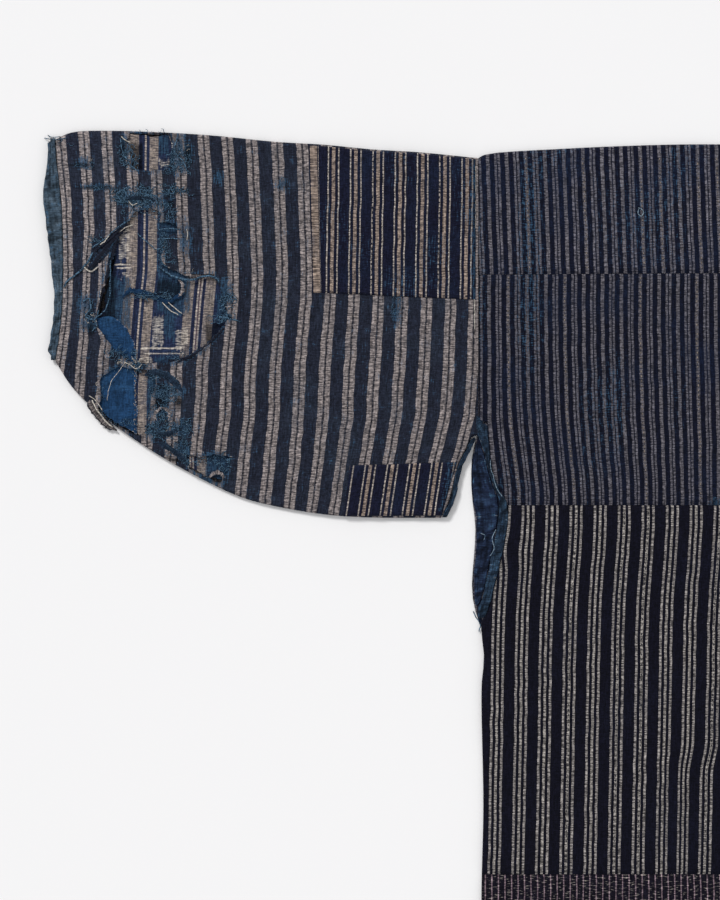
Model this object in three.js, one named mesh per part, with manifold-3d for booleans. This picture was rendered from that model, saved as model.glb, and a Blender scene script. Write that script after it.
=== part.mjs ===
// Patched cotton work coat of kimono cut, laid flat on its front with its back up.
// Millimetres. X runs across the back, Y from hem to shoulder, Z up. While it is drawn, the centre
// back is X 0 and the level of the shoulder folds is Y 0; the finished coat is moved so that the
// origin lies under the middle of its outline. Outlines are drawn for the half at -X and mirrored.

import * as THREE from 'three';
import { mergeVertices } from 'three/addons/utils/BufferGeometryUtils.js';
import Module from 'manifold-3d';

// ---- driving dimensions ----
const clothWall = 2.0; // quilted cotton, two cloths sewn through
const patchWall = 1.0; // single cotton cloth
const seamGap = 0.3; // clearance between pieces that are sewn together
const sleeveHollow = 1.6; // room between the sleeve's two layers for the mends inside it

const bodyHalfWidth = 301.7; // armhole seam from centre back: one narrow loom width
const armholeX = -302;
const armholeEndY = -241; // lower end of the sleeve's seam
const neckHalfWidth = 85;
const neckDrop = 14; // depth of the scoop at the back of the neck
const shoulderSeamY = -101; // the shoulder piece reaches this far down back and front
const upperSeamY = -301;
const waistSeamY = -618;
const hemY = -1150;

const collarEdgeX = 30; // inner edge of the collar from centre front
const collarTopY = 35;
const collarSpringY = -20; // where the collar starts to bend round the neck
const collarInnerTopY = -20;
const collarInnerSpringY = -60;

const furiBandWidth = 4; // binding of the sleeve's free inner edge
const seamSlope = 2; // the shoulder piece's lower seam runs lower at the armhole than at the centre

// ---- reach of the cutters that open the sleeve's ends ----
const pastCuffX = -700;
const pastArmholeX = -280;
const inFromCuffX = -640;
const inFromFuriX = -345;
const cutMargin = 0.5;

// ---- levels ----
const frontLow = 0;
const frontHigh = clothWall;
const backLow = frontHigh + seamGap;
const backHigh = backLow + clothWall;
const sleeveInnerHigh = frontHigh + sleeveHollow;
const sleeveHigh = sleeveInnerHigh + clothWall;
const mendLow = frontHigh + seamGap;
const patchLow = sleeveHigh + seamGap;
const hollowLevels = { low: frontHigh, high: sleeveInnerHigh };

// ---- cloths ----
function cotton(name, color) {
  return new THREE.MeshStandardMaterial({ name, color, roughness: 0.95, metalness: 0 });
}

const pairedStripe = cotton('paired_stripe', '#4a4643');
const dottedStripe = cotton('dotted_stripe', '#3b3a3f');
const fineStripe = cotton('fine_stripe', '#33343f');
const tripleStripe = cotton('triple_stripe', '#3f3e45');
const pinStripe = cotton('pin_stripe', '#2f2a38');
const kasuri = cotton('kasuri', '#6a6460');
const indigo = cotton('indigo', '#21405f');
const indigoBinding = cotton('indigo_binding', '#1f3a50');

// ---- outline helpers ----
function curve(points, steps) {
  const vectors = points.map(([x, y]) => new THREE.Vector3(x, y, 0));
  return new THREE.CatmullRomCurve3(vectors).getPoints(steps).map((p) => [p.x, p.y]);
}

function arc(centreY, radiusX, radiusY, fromDegrees, toDegrees, steps) {
  const points = [];
  for (let i = 0; i <= steps; i += 1) {
    const angle = THREE.MathUtils.degToRad(fromDegrees + ((toDegrees - fromDegrees) * i) / steps);
    points.push([radiusX * Math.cos(angle), centreY + radiusY * Math.sin(angle)]);
  }
  return points;
}

function reversed(points) {
  return [...points].reverse();
}

function moved(points, dx, dy) {
  return points.map(([x, y]) => [x + dx, y + dy]);
}

function below(points, y) {
  return points.filter((point) => point[1] < y);
}

function above(points, y) {
  return points.filter((point) => point[1] > y);
}

// The point where a line of falling points reaches the level y.
function crossing(points, y) {
  const next = points.findIndex((point) => point[1] < y);
  const [[x0, y0], [x1, y1]] = [points[next - 1], points[next]];
  return [x0 + ((x1 - x0) * (y - y0)) / (y1 - y0), y];
}

function mirrored(points) {
  return reversed(points).map(([x, y]) => [-x, y]);
}

// Removes points that crowd their neighbour where two edges join.
function tidyLoop(points) {
  const closest = 0.6;
  return points.filter(([x, y], i) => {
    const [nextX, nextY] = points[(i + 1) % points.length];
    return Math.hypot(x - nextX, y - nextY) > closest;
  });
}

// ---- solids ----
function slab(outline, low, high) {
  const shape = new THREE.Shape(outline.map(([x, y]) => new THREE.Vector2(x, y)));
  const geometry = new THREE.ExtrudeGeometry(shape, { depth: high - low, bevelEnabled: false });
  geometry.translate(0, 0, low);
  return geometry;
}

const wasm = await Module();
wasm.setup();

function toSolid(geometry) {
  const bare = geometry.clone();
  bare.deleteAttribute('normal');
  bare.deleteAttribute('uv');
  const merged = mergeVertices(bare, 1e-4);
  return new wasm.Manifold(
    new wasm.Mesh({
      numProp: 3,
      vertProperties: new Float32Array(merged.attributes.position.array),
      triVerts: new Uint32Array(merged.index.array),
    }),
  );
}

function toGeometry(solid) {
  const mesh = solid.getMesh();
  const geometry = new THREE.BufferGeometry();
  geometry.setAttribute('position', new THREE.BufferAttribute(mesh.vertProperties, 3));
  geometry.setIndex(new THREE.BufferAttribute(mesh.triVerts, 1));
  geometry.computeVertexNormals();
  return geometry;
}

function cut(outline, low, high, cutters) {
  let solid = toSolid(slab(outline, low, high));
  for (const cutter of cutters) {
    solid = solid.subtract(toSolid(slab(cutter.outline, cutter.low, cutter.high)));
  }
  return toGeometry(solid);
}

function join(pieces) {
  let solid = toSolid(slab(pieces[0].outline, pieces[0].low, pieces[0].high));
  for (const piece of pieces.slice(1)) {
    solid = solid.add(toSolid(slab(piece.outline, piece.low, piece.high)));
  }
  return toGeometry(solid);
}

const coat = new THREE.Group();

function sew(name, geometry, material) {
  const mesh = new THREE.Mesh(geometry, material);
  mesh.name = name;
  coat.add(mesh);
}

// ---- edges of the sleeve, from the cuff to the armhole ----
const cuffEdge = curve(
  [
    [-671, 10],
    [-671, -4],
    [-675, -32],
    [-669, -87],
    [-665.5, -130],
    [-671, -169],
  ],
  18,
);
const cuffSeam = curve(
  [
    [-664.5, 13],
    [-663, -10],
    [-659, -45],
    [-658.5, -131],
    [-664.5, -178],
  ],
  18,
);
const sleeveTop = curve(
  [
    [-664.2, 13.5],
    [-651, 19],
    [-620, 20.5],
    [-537, 17],
    [-476, 11],
    [-434, 8.5],
    [-393, 4.5],
    [-352, 2],
    [armholeX, -3],
  ],
  32,
);
const sleeveBottom = curve(
  [
    [-664.2, -178.5],
    [-651, -199],
    [-630, -220],
    [-589, -250],
    [-548, -274],
    [-506, -294],
    [-476, -302],
    [-434, -309],
    [-400, -311.5],
    [-333.3, -312],
  ],
  36,
);
const furiEdge = curve(
  [
    [-303, -242],
    [-309.5, -256],
    [-315, -267],
    [-322, -296],
    [-329, -312],
  ],
  12,
);
const furiSeam = moved(furiEdge, -furiBandWidth - seamGap, 0);

// ---- edges of the body ----
const shoulderFold = curve(
  [
    [-bodyHalfWidth, -3],
    [-296, 0],
    [-231, 5],
    [-141, 8.6],
    [-neckHalfWidth, 9],
  ],
  16,
);
const neckEdge = curve(
  [
    [-neckHalfWidth, 9],
    [-62, -3],
    [-34, -11.5],
    [-seamGap / 2, -neckDrop],
  ],
  10,
);
const sideBelowOpening = curve(
  [
    [-299.5, -402],
    [-298.5, -415],
    [-296.7, -433],
    [-298.8, -455],
    [-297.3, -560],
    [-299, -640],
    [-298, -900],
    [-298, hemY],
  ],
  40,
);
const frontOpeningEdge = curve(
  [
    [-bodyHalfWidth, armholeEndY],
    [-306.5, -256],
    [-307.5, -288],
    [-304, -322],
    [-307, -375],
    [-303, -396],
    [-299.5, -402],
  ],
  20,
);
const backOpeningEdge = curve(
  [
    [-294, -230],
    [-293, -245],
    [-290, -271],
    [-283.5, -287],
    [-277, -300],
    [-277.5, -325],
    [-283, -352],
    [-289, -376],
    [-294, -393],
    [-299, -401.5],
  ],
  32,
);
const openingBindingEdge = curve(
  [
    [-301.4, -230],
    [-301.2, -243],
    [-296, -258],
    [-290.7, -279],
    [-284.5, -297],
    [-285.5, -318],
    [-292, -352],
    [-297, -376],
    [-302, -391],
    [-302, -399],
  ],
  32,
);
const facingOuterEdge = curve(
  [
    [-302.3, -246],
    [-305.4, -256],
    [-306.4, -288],
    [-303, -322],
    [-305.6, -370],
    [-304, -388],
  ],
  16,
);

// ---- holes worn through the back of the sleeve, and the mends that show in them ----
const wornHoles = [
  [
    [-596, 4],
    [-573, 6],
    [-569, -12],
    [-583, -17],
    [-597, -10],
  ],
  [
    [-628, -140],
    [-621, -112],
    [-612, -74],
    [-596, -49],
    [-576, -50],
    [-561, -60],
    [-558, -96],
    [-529, -104],
    [-517, -142],
    [-540, -168],
    [-572, -181],
    [-596, -178],
    [-612, -168],
  ],
  [
    [-611, -184],
    [-597, -182],
    [-597, -228],
    [-611, -222],
    [-624, -206],
    [-625, -197],
  ],
];
const mendSeamX = -595;
const kasuriMend = [
  [-602, 12],
  [-556, 12],
  [-540, -40],
  [-508, -110],
  [-506, -150],
  [-524, -196],
  [-508, -262],
  [-530, -276],
  [-572, -254],
  [mendSeamX + seamGap / 2, -238],
  [mendSeamX + seamGap / 2, -138],
  [-612, -138],
  [-622, -110],
  [-614, -60],
];
const indigoMend = [
  [mendSeamX - seamGap / 2, -141],
  [mendSeamX - seamGap / 2, -240],
  [-618, -226],
  [-634, -209],
  [-636, -141],
];

// ---- patches sewn on the outside of the sleeve ----
const upperPatch = [
  [-441, 7.5],
  [-393, 3],
  [-352, 0.5],
  [-304, -4],
  [-304, -125],
  [-437, -119],
];
const lowerPatch = [
  [-412, -267],
  [-320.5, -264],
  [-327, -296],
  [-333, -310],
  [-417, -310.5],
];

// Mirrors an outline for the coat's right half.
function onSide(side, outline) {
  return side === 'left' ? outline : mirrored(outline);
}

// A sleeve is one cloth folded along its top and sewn along its bottom curve, open at both ends.
function makeSleeve(side, holes) {
  const outline = [
    ...sleeveTop,
    [armholeX, armholeEndY],
    ...furiSeam,
    ...reversed(sleeveBottom),
    ...reversed(cuffSeam),
  ];
  const foldInside = moved(sleeveTop, 0, -clothWall);
  const bottomInside = moved(sleeveBottom, 0, clothWall);
  const inside = [
    [pastCuffX, foldInside[0][1]],
    ...foldInside.slice(1, -1),
    [pastArmholeX, foldInside.at(-1)[1]],
    [pastArmholeX, bottomInside.at(-1)[1]],
    ...reversed(bottomInside).slice(0, -1),
    [pastCuffX, bottomInside[0][1]],
  ];
  const cutters = [{ outline: onSide(side, inside), ...hollowLevels }];
  for (const hole of holes) {
    cutters.push({ outline: hole, low: sleeveInnerHigh - cutMargin, high: sleeveHigh + cutMargin });
  }
  sew(`sleeve_${side}`, cut(onSide(side, tidyLoop(outline)), frontLow, sleeveHigh, cutters), pairedStripe);
}

// The cuff's binding runs round both layers of the sleeve's mouth.
function makeCuffBand(side) {
  const band = [...moved(reversed(cuffSeam), -seamGap, 0), ...cuffEdge];
  const mouthTopY = cuffEdge[0][1] - clothWall;
  const mouthBottomY = cuffEdge.at(-1)[1] + clothWall;
  const mouth = [
    [pastCuffX, mouthTopY],
    [inFromCuffX, mouthTopY],
    [inFromCuffX, mouthBottomY],
    [pastCuffX, mouthBottomY],
  ];
  const cutters = [{ outline: onSide(side, mouth), ...hollowLevels }];
  sew(`cuff_band_${side}`, cut(onSide(side, tidyLoop(band)), frontLow, sleeveHigh, cutters), indigoBinding);
}

// The binding of the sleeve's free inner edge, on both layers, joined at the bottom corner.
function makeFuriBand(side) {
  const band = [...furiEdge, ...reversed(moved(furiEdge, -furiBandWidth, 0))];
  const slotTopY = armholeEndY + 2 * clothWall;
  const slotBottomY = furiEdge.at(-1)[1] + 2 * clothWall;
  const slot = [
    [inFromFuriX, slotTopY],
    [pastArmholeX, slotTopY],
    [pastArmholeX, slotBottomY],
    [inFromFuriX, slotBottomY],
  ];
  const cutters = [{ outline: onSide(side, slot), ...hollowLevels }];
  sew(`furi_band_${side}`, cut(onSide(side, band), frontLow, sleeveHigh, cutters), indigoBinding);
}

// The shoulder piece lies on the back, turns over the shoulder fold and lies on the front.
function makeShoulder(side) {
  const backLayer = [
    ...shoulderFold,
    ...neckEdge.slice(1),
    [-seamGap / 2, shoulderSeamY],
    [-bodyHalfWidth, shoulderSeamY - seamSlope],
  ];
  const frontLayer = [
    ...shoulderFold,
    [-neckHalfWidth - seamGap, shoulderSeamY],
    [-bodyHalfWidth, shoulderSeamY - seamSlope],
  ];
  const foldStrip = [...shoulderFold, ...reversed(moved(shoulderFold, 0, -clothWall))];
  const pieces = [
    { outline: onSide(side, backLayer), low: backLow, high: backHigh },
    { outline: onSide(side, foldStrip), low: frontLow, high: backHigh },
    { outline: onSide(side, frontLayer), low: frontLow, high: frontHigh },
  ];
  sew(`shoulder_${side}`, join(pieces), fineStripe);
}

function makeBackPanels(side) {
  const upper = [
    [-bodyHalfWidth, shoulderSeamY - seamSlope - seamGap],
    [-seamGap / 2, shoulderSeamY - seamGap],
    [-seamGap / 2, upperSeamY],
    crossing(backOpeningEdge, upperSeamY),
    ...reversed(above(backOpeningEdge, upperSeamY)),
    [-bodyHalfWidth, openingBindingEdge[0][1] + seamGap],
  ];
  const waist = [
    [-seamGap / 2, upperSeamY - seamGap],
    [-seamGap / 2, waistSeamY],
    crossing(sideBelowOpening, waistSeamY),
    ...reversed(above(sideBelowOpening, waistSeamY)),
    ...reversed(below(backOpeningEdge, upperSeamY - seamGap)),
    crossing(backOpeningEdge, upperSeamY - seamGap),
  ];
  const skirt = [
    crossing(sideBelowOpening, waistSeamY - seamGap),
    [-seamGap / 2, waistSeamY - seamGap],
    [-seamGap / 2, hemY],
    ...reversed(below(sideBelowOpening, waistSeamY - seamGap)),
  ];
  sew(`back_upper_${side}`, slab(onSide(side, tidyLoop(upper)), backLow, backHigh), fineStripe);
  sew(`back_waist_${side}`, slab(onSide(side, tidyLoop(waist)), backLow, backHigh), tripleStripe);
  sew(`back_skirt_${side}`, slab(onSide(side, tidyLoop(skirt)), backLow, backHigh), pinStripe);
}

function makeFront(side) {
  const outline = [
    [-bodyHalfWidth, shoulderSeamY - seamSlope - seamGap],
    [-neckHalfWidth - seamGap, shoulderSeamY - seamGap],
    [-neckHalfWidth - seamGap, hemY],
    ...reversed(sideBelowOpening),
    ...reversed(frontOpeningEdge),
  ];
  sew(`front_${side}`, slab(onSide(side, tidyLoop(outline)), frontLow, frontHigh), fineStripe);
}

// The side opening below the sleeve: a binding on the back's edge, and a facing on the front's.
function makeSideOpening(side) {
  const binding = [...openingBindingEdge, ...reversed(moved(backOpeningEdge, -seamGap, 0))];
  const facingTopY = facingOuterEdge[0][1];
  const facingBottomY = facingOuterEdge.at(-1)[1];
  const beside = moved(openingBindingEdge, -2 * seamGap, 0);
  const facing = [...facingOuterEdge, ...reversed(below(above(beside, facingBottomY), facingTopY))];
  sew(`opening_binding_${side}`, slab(onSide(side, tidyLoop(binding)), backLow, backHigh), indigoBinding);
  sew(`opening_facing_${side}`, slab(onSide(side, tidyLoop(facing)), backLow, backLow + patchWall), indigo);
}

// One half of the collar: a straight band down the front edge that bends round the neck.
function makeCollar(side) {
  const offCentre = 0.3; // degrees short of the centre back, so that the halves don't touch
  const innerHeight = collarInnerTopY - collarInnerSpringY;
  const outer = arc(collarSpringY, neckHalfWidth, collarTopY - collarSpringY, 180, 90 + offCentre, 14);
  const inner = arc(collarInnerSpringY, collarEdgeX, innerHeight, 90 + offCentre, 180, 10);
  const outline = [[-neckHalfWidth, hemY], ...outer, ...inner, [-collarEdgeX, hemY]];
  sew(`collar_${side}`, slab(onSide(side, outline), frontLow, frontHigh), indigoBinding);
}

function makePatches() {
  sew('mend_kasuri', slab(kasuriMend, mendLow, mendLow + patchWall), kasuri);
  sew('mend_indigo', slab(indigoMend, mendLow, mendLow + patchWall), indigo);
  sew('sleeve_patch_upper', slab(upperPatch, patchLow, patchLow + patchWall), dottedStripe);
  sew('sleeve_patch_lower', slab(lowerPatch, patchLow, patchLow + patchWall), dottedStripe);
}

for (const side of ['left', 'right']) {
  makeSleeve(side, side === 'left' ? wornHoles : []);
  makeCuffBand(side);
  makeFuriBand(side);
  makeShoulder(side);
  makeBackPanels(side);
  makeFront(side);
  makeSideOpening(side);
  makeCollar(side);
}
makePatches();

coat.position.y = -(collarTopY + hemY) / 2;

export default coat;
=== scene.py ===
import math
import bpy
import numpy as np
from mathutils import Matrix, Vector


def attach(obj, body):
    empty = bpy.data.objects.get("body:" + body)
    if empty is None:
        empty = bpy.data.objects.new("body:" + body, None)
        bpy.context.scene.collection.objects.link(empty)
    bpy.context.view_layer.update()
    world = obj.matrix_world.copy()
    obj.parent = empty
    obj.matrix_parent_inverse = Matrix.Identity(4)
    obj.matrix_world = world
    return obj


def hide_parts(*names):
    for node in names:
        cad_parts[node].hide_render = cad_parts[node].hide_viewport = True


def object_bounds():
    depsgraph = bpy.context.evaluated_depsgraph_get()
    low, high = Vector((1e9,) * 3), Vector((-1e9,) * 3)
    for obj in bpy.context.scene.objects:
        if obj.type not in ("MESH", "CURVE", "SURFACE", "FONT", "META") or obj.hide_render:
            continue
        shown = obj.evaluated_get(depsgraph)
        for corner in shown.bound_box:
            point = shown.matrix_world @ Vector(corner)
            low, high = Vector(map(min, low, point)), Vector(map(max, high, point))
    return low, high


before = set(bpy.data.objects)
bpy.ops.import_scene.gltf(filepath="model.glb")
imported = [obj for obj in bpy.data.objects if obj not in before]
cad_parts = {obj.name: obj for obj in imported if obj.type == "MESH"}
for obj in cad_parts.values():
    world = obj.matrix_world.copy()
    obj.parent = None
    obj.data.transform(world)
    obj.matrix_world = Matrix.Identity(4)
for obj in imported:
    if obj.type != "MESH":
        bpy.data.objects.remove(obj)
cadLow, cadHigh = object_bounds()

# Everything is drawn in the coat's own millimetres: x from the centre back, y from the level of the
# shoulders, z up from the floor. toMetres moves it to the frame's place.
coat = {
    "collarTop": 35.0,
    "cloth": 1.9,  # quilted cotton, two cloths sewn through
    "patch": 1.0,  # single cotton cloth
    "backLevel": 5.0,  # top of the body's back
    "sleeveLevel": 6.3,  # top of the sleeve's back
    "halfWidth": 301.7,
    "cuff": -664.0,
    "armhole": -302.0,
    "crossSeam": -301.0,  # upper back to waist
    "waistSeam": -618.0,
}
rise = cadHigh.y * 1000 - coat["collarTop"]


def toMetres(points):
    moved = np.array(points, float)
    moved[..., 1] += rise
    return moved / 1000


def ease(value):
    value = np.clip(value, 0, 1)
    return value * value * (3 - 2 * value)


def softNoise(x, y, size, seed):
    # smooth random field, about -1 to 1, with lumps of the given size in mm
    lattice = np.random.default_rng(seed).uniform(-1, 1, (64, 64))
    u = np.asarray(x, float) / size + 31.3
    v = np.asarray(y, float) / size + 17.7
    i = np.floor(u).astype(int)
    j = np.floor(v).astype(int)
    a = ease(u - i)
    b = ease(v - j)
    low = lattice[i % 64, j % 64] * (1 - a) + lattice[(i + 1) % 64, j % 64] * a
    high = lattice[i % 64, (j + 1) % 64] * (1 - a) + lattice[(i + 1) % 64, (j + 1) % 64] * a
    return low * (1 - b) + high * b


def smoothLine(points, step):
    # a smooth line through given points, with a point every step mm
    points = np.array(points, float)
    gaps = np.sqrt(np.linalg.norm(np.diff(points, axis=0), axis=1)) + 1e-6
    knots = np.concatenate([[0], np.cumsum(gaps)])
    slopes = np.diff(points, axis=0) / gaps[:, None]
    inner = (slopes[:-1] * gaps[1:, None] + slopes[1:] * gaps[:-1, None]) / (gaps[:-1] + gaps[1:])[:, None]
    tangents = np.concatenate([slopes[:1], inner, slopes[-1:]])
    length = np.linalg.norm(np.diff(points, axis=0), axis=1).sum()
    at = np.linspace(0, knots[-1], max(int(length / step) + 1, 4))
    k = np.clip(np.searchsorted(knots, at, side="right") - 1, 0, len(gaps) - 1)
    h = gaps[k][:, None]
    t = (at[:, None] - knots[k][:, None]) / h
    p0, p1, m0, m1 = points[k], points[k + 1], tangents[k] * h, tangents[k + 1] * h
    return p0 * (2 * t**3 - 3 * t**2 + 1) + m0 * (t**3 - 2 * t**2 + t) + p1 * (3 * t**2 - 2 * t**3) + m1 * (t**3 - t**2)


def reach(node, axis, places):
    # how far a CAD piece reaches across one axis (0 for x, 1 for y) at the given places on the other one
    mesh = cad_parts[node].data
    corners = np.array([v.co for v in mesh.vertices]) * 1000
    corners[:, 1] -= rise
    ends = np.array([e.vertices for e in mesh.edges])
    along = 1 - axis
    a, b = corners[ends[:, 0]], corners[ends[:, 1]]
    low, high = [], []
    for place in np.clip(places, corners[:, along].min() + 0.01, corners[:, along].max() - 0.01):
        hit = (np.minimum(a[:, along], b[:, along]) <= place) & (np.maximum(a[:, along], b[:, along]) >= place)
        span = b[hit, along] - a[hit, along]
        share = np.where(np.abs(span) > 1e-6, (place - a[hit, along]) / np.where(span == 0, 1, span), 0)
        across = a[hit, axis] + np.clip(share, 0, 1) * (b[hit, axis] - a[hit, axis])
        low.append(across.min())
        high.append(across.max())
    return np.array(low), np.array(high)


def spaced(length, step, fineStart=True, fineEnd=True):
    # places from 0 to length, close together beside an edge so that its roll stays round
    edge = [0.0, 0.25, 0.8, 1.7, 3.0]
    start = edge if fineStart else [0.0]
    end = edge if fineEnd else [0.0]
    inner = np.linspace(start[-1], length - end[-1], max(int(round(length / step)), 2) + 1)
    return np.concatenate([start[:-1], inner, length - np.array(end[-2::-1])])


def fourSided(bottom, top, left, right, s, t):
    # fills the plan between four edges, each an array of x, y points
    u, v = s[:, None, None], t[None, :, None]
    between = (1 - v) * bottom[:, None] + v * top[:, None] + (1 - u) * left[None] + u * right[None]
    corners = (1 - u) * (1 - v) * bottom[0] + u * (1 - v) * bottom[-1]
    corners = corners + (1 - u) * v * top[0] + u * v * top[-1]
    return between - corners


def inside(outline, x, y):
    count = np.zeros(np.shape(x), bool)
    for (x0, y0), (x1, y1) in zip(outline, np.roll(outline, -1, axis=0)):
        crosses = (y0 > y) != (y1 > y)
        where = x0 + (y - y0) * (x1 - x0) / (y1 - y0 if y1 != y0 else 1e-9)
        count ^= crosses & (x < where)
    return count


def nearest(outline, x, y):
    # closest point of a closed outline, and how far off it is
    points = np.stack([np.ravel(x), np.ravel(y)], 1)
    best = np.full(len(points), 1e9)
    place = points.copy()
    for a, b in zip(outline, np.roll(outline, -1, axis=0)):
        way = b - a
        share = np.clip(((points - a) @ way) / max(way @ way, 1e-9), 0, 1)
        spot = a + share[:, None] * way
        off = np.linalg.norm(points - spot, axis=1)
        closer = off < best
        best[closer] = off[closer]
        place[closer] = spot[closer]
    return place.reshape(np.shape(x) + (2,)), best.reshape(np.shape(x))


def makeMesh(name, points, faces, uv=None, fields=None):
    # points in mm, faces an array of vertex numbers; unused vertices are left out
    used = np.unique(faces)
    renumber = np.zeros(len(points), int)
    renumber[used] = np.arange(len(used))
    faces = renumber[faces]
    mesh = bpy.data.meshes.new(name)
    mesh.vertices.add(len(used))
    mesh.vertices.foreach_set("co", toMetres(points[used]).ravel())
    mesh.loops.add(faces.size)
    mesh.loops.foreach_set("vertex_index", faces.ravel())
    mesh.polygons.add(len(faces))
    mesh.polygons.foreach_set("loop_start", np.arange(len(faces)) * faces.shape[1])
    mesh.update(calc_edges=True)
    mesh.polygons.foreach_set("use_smooth", np.ones(len(faces), bool))
    if uv is not None:
        layer = mesh.uv_layers.new(name="cloth")
        layer.data.foreach_set("uv", uv[used][faces.ravel()].ravel())
    for label, values in (fields or {}).items():
        attribute = mesh.attributes.new(label, "FLOAT", "POINT")
        attribute.data.foreach_set("value", values[used])
    piece = bpy.data.objects.new(name, mesh)
    bpy.context.scene.collection.objects.link(piece)
    return piece


def clothShell(name, outer, inner, uv, keep=None, loop=False, fields=None, flip=False):
    # a closed wall of cloth between two grids of points; keep says which cells of the grid there are,
    # and a field is one grid of values or a pair of them, for the outer and the inner face
    rows, columns = outer.shape[:2]
    number = np.arange(rows * columns).reshape(rows, columns)
    if loop:
        number = np.concatenate([number, number[:, :1]], axis=1)
    a, b, c, d = number[:-1, :-1], number[1:, :-1], number[1:, 1:], number[:-1, 1:]
    there = np.ones(a.shape, bool) if keep is None else keep
    under = rows * columns
    faces = [np.stack([a, b, c, d], -1)[there], np.stack([d, c, b, a], -1)[there] + under]
    wide = np.pad(there, 1)
    if loop:
        wide[1:-1, 0] = there[:, -1]
        wide[1:-1, -1] = there[:, 0]
    sides = (
        (a, b, wide[1:-1, :-2]),
        (b, c, wide[2:, 1:-1]),
        (c, d, wide[1:-1, 2:]),
        (d, a, wide[:-2, 1:-1]),
    )
    for start, end, beside in sides:
        rim = there & ~beside
        faces.append(np.stack([end, start, start + under, end + under], -1)[rim])
    faces = np.concatenate(faces)
    if flip:
        faces = faces[:, ::-1]
    points = np.concatenate([outer.reshape(-1, 3), inner.reshape(-1, 3)])
    both = {}
    for label, values in (fields or {}).items():
        pair = values if isinstance(values, tuple) else (values, values)
        both[label] = np.concatenate([values.ravel() for values in pair])
    piece = makeMesh(name, points, faces, np.tile(uv.reshape(-1, 2), (2, 1)), both)
    piece.data.set_sharp_from_angle(angle=math.radians(60))
    return piece


# materials
def linear(hexColour):
    parts = [int(hexColour[i : i + 2], 16) / 255 for i in (1, 3, 5)]
    return [p / 12.92 if p <= 0.04045 else ((p + 0.055) / 1.055) ** 2.4 for p in parts] + [1.0]


def add(tree, kind, inputs=None, out=0, **settings):
    # adds one node: its settings, its input values or links, and gives back one of its outputs
    node = tree.nodes.new(kind)
    for key, value in settings.items():
        setattr(node, key, value)
    for socket, value in (inputs or {}).items():
        if isinstance(value, bpy.types.NodeSocket):
            tree.links.new(value, node.inputs[socket])
        else:
            node.inputs[socket].default_value = value
    return node.outputs[out]


def setStops(ramp, stops, interpolation="LINEAR"):
    # stops are (place from 0 to 1, colour)
    ramp.interpolation = interpolation
    stops = sorted(stops, key=lambda stop: stop[0])
    while len(ramp.elements) < len(stops):
        ramp.elements.new(0.5)
    for element, (place, colour) in zip(ramp.elements, stops):
        element.position = place
        element.color = colour


def stripeStops(ground, stripes, repeat):
    # stripes are (middle, width, colour) in mm from the start of the repeat
    stops = [(0.0, linear(ground))]
    for middle, width, colour in stripes:
        stops += [((middle - width / 2) / repeat, linear(colour)), ((middle + width / 2) / repeat, linear(ground))]
    return stops


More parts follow.
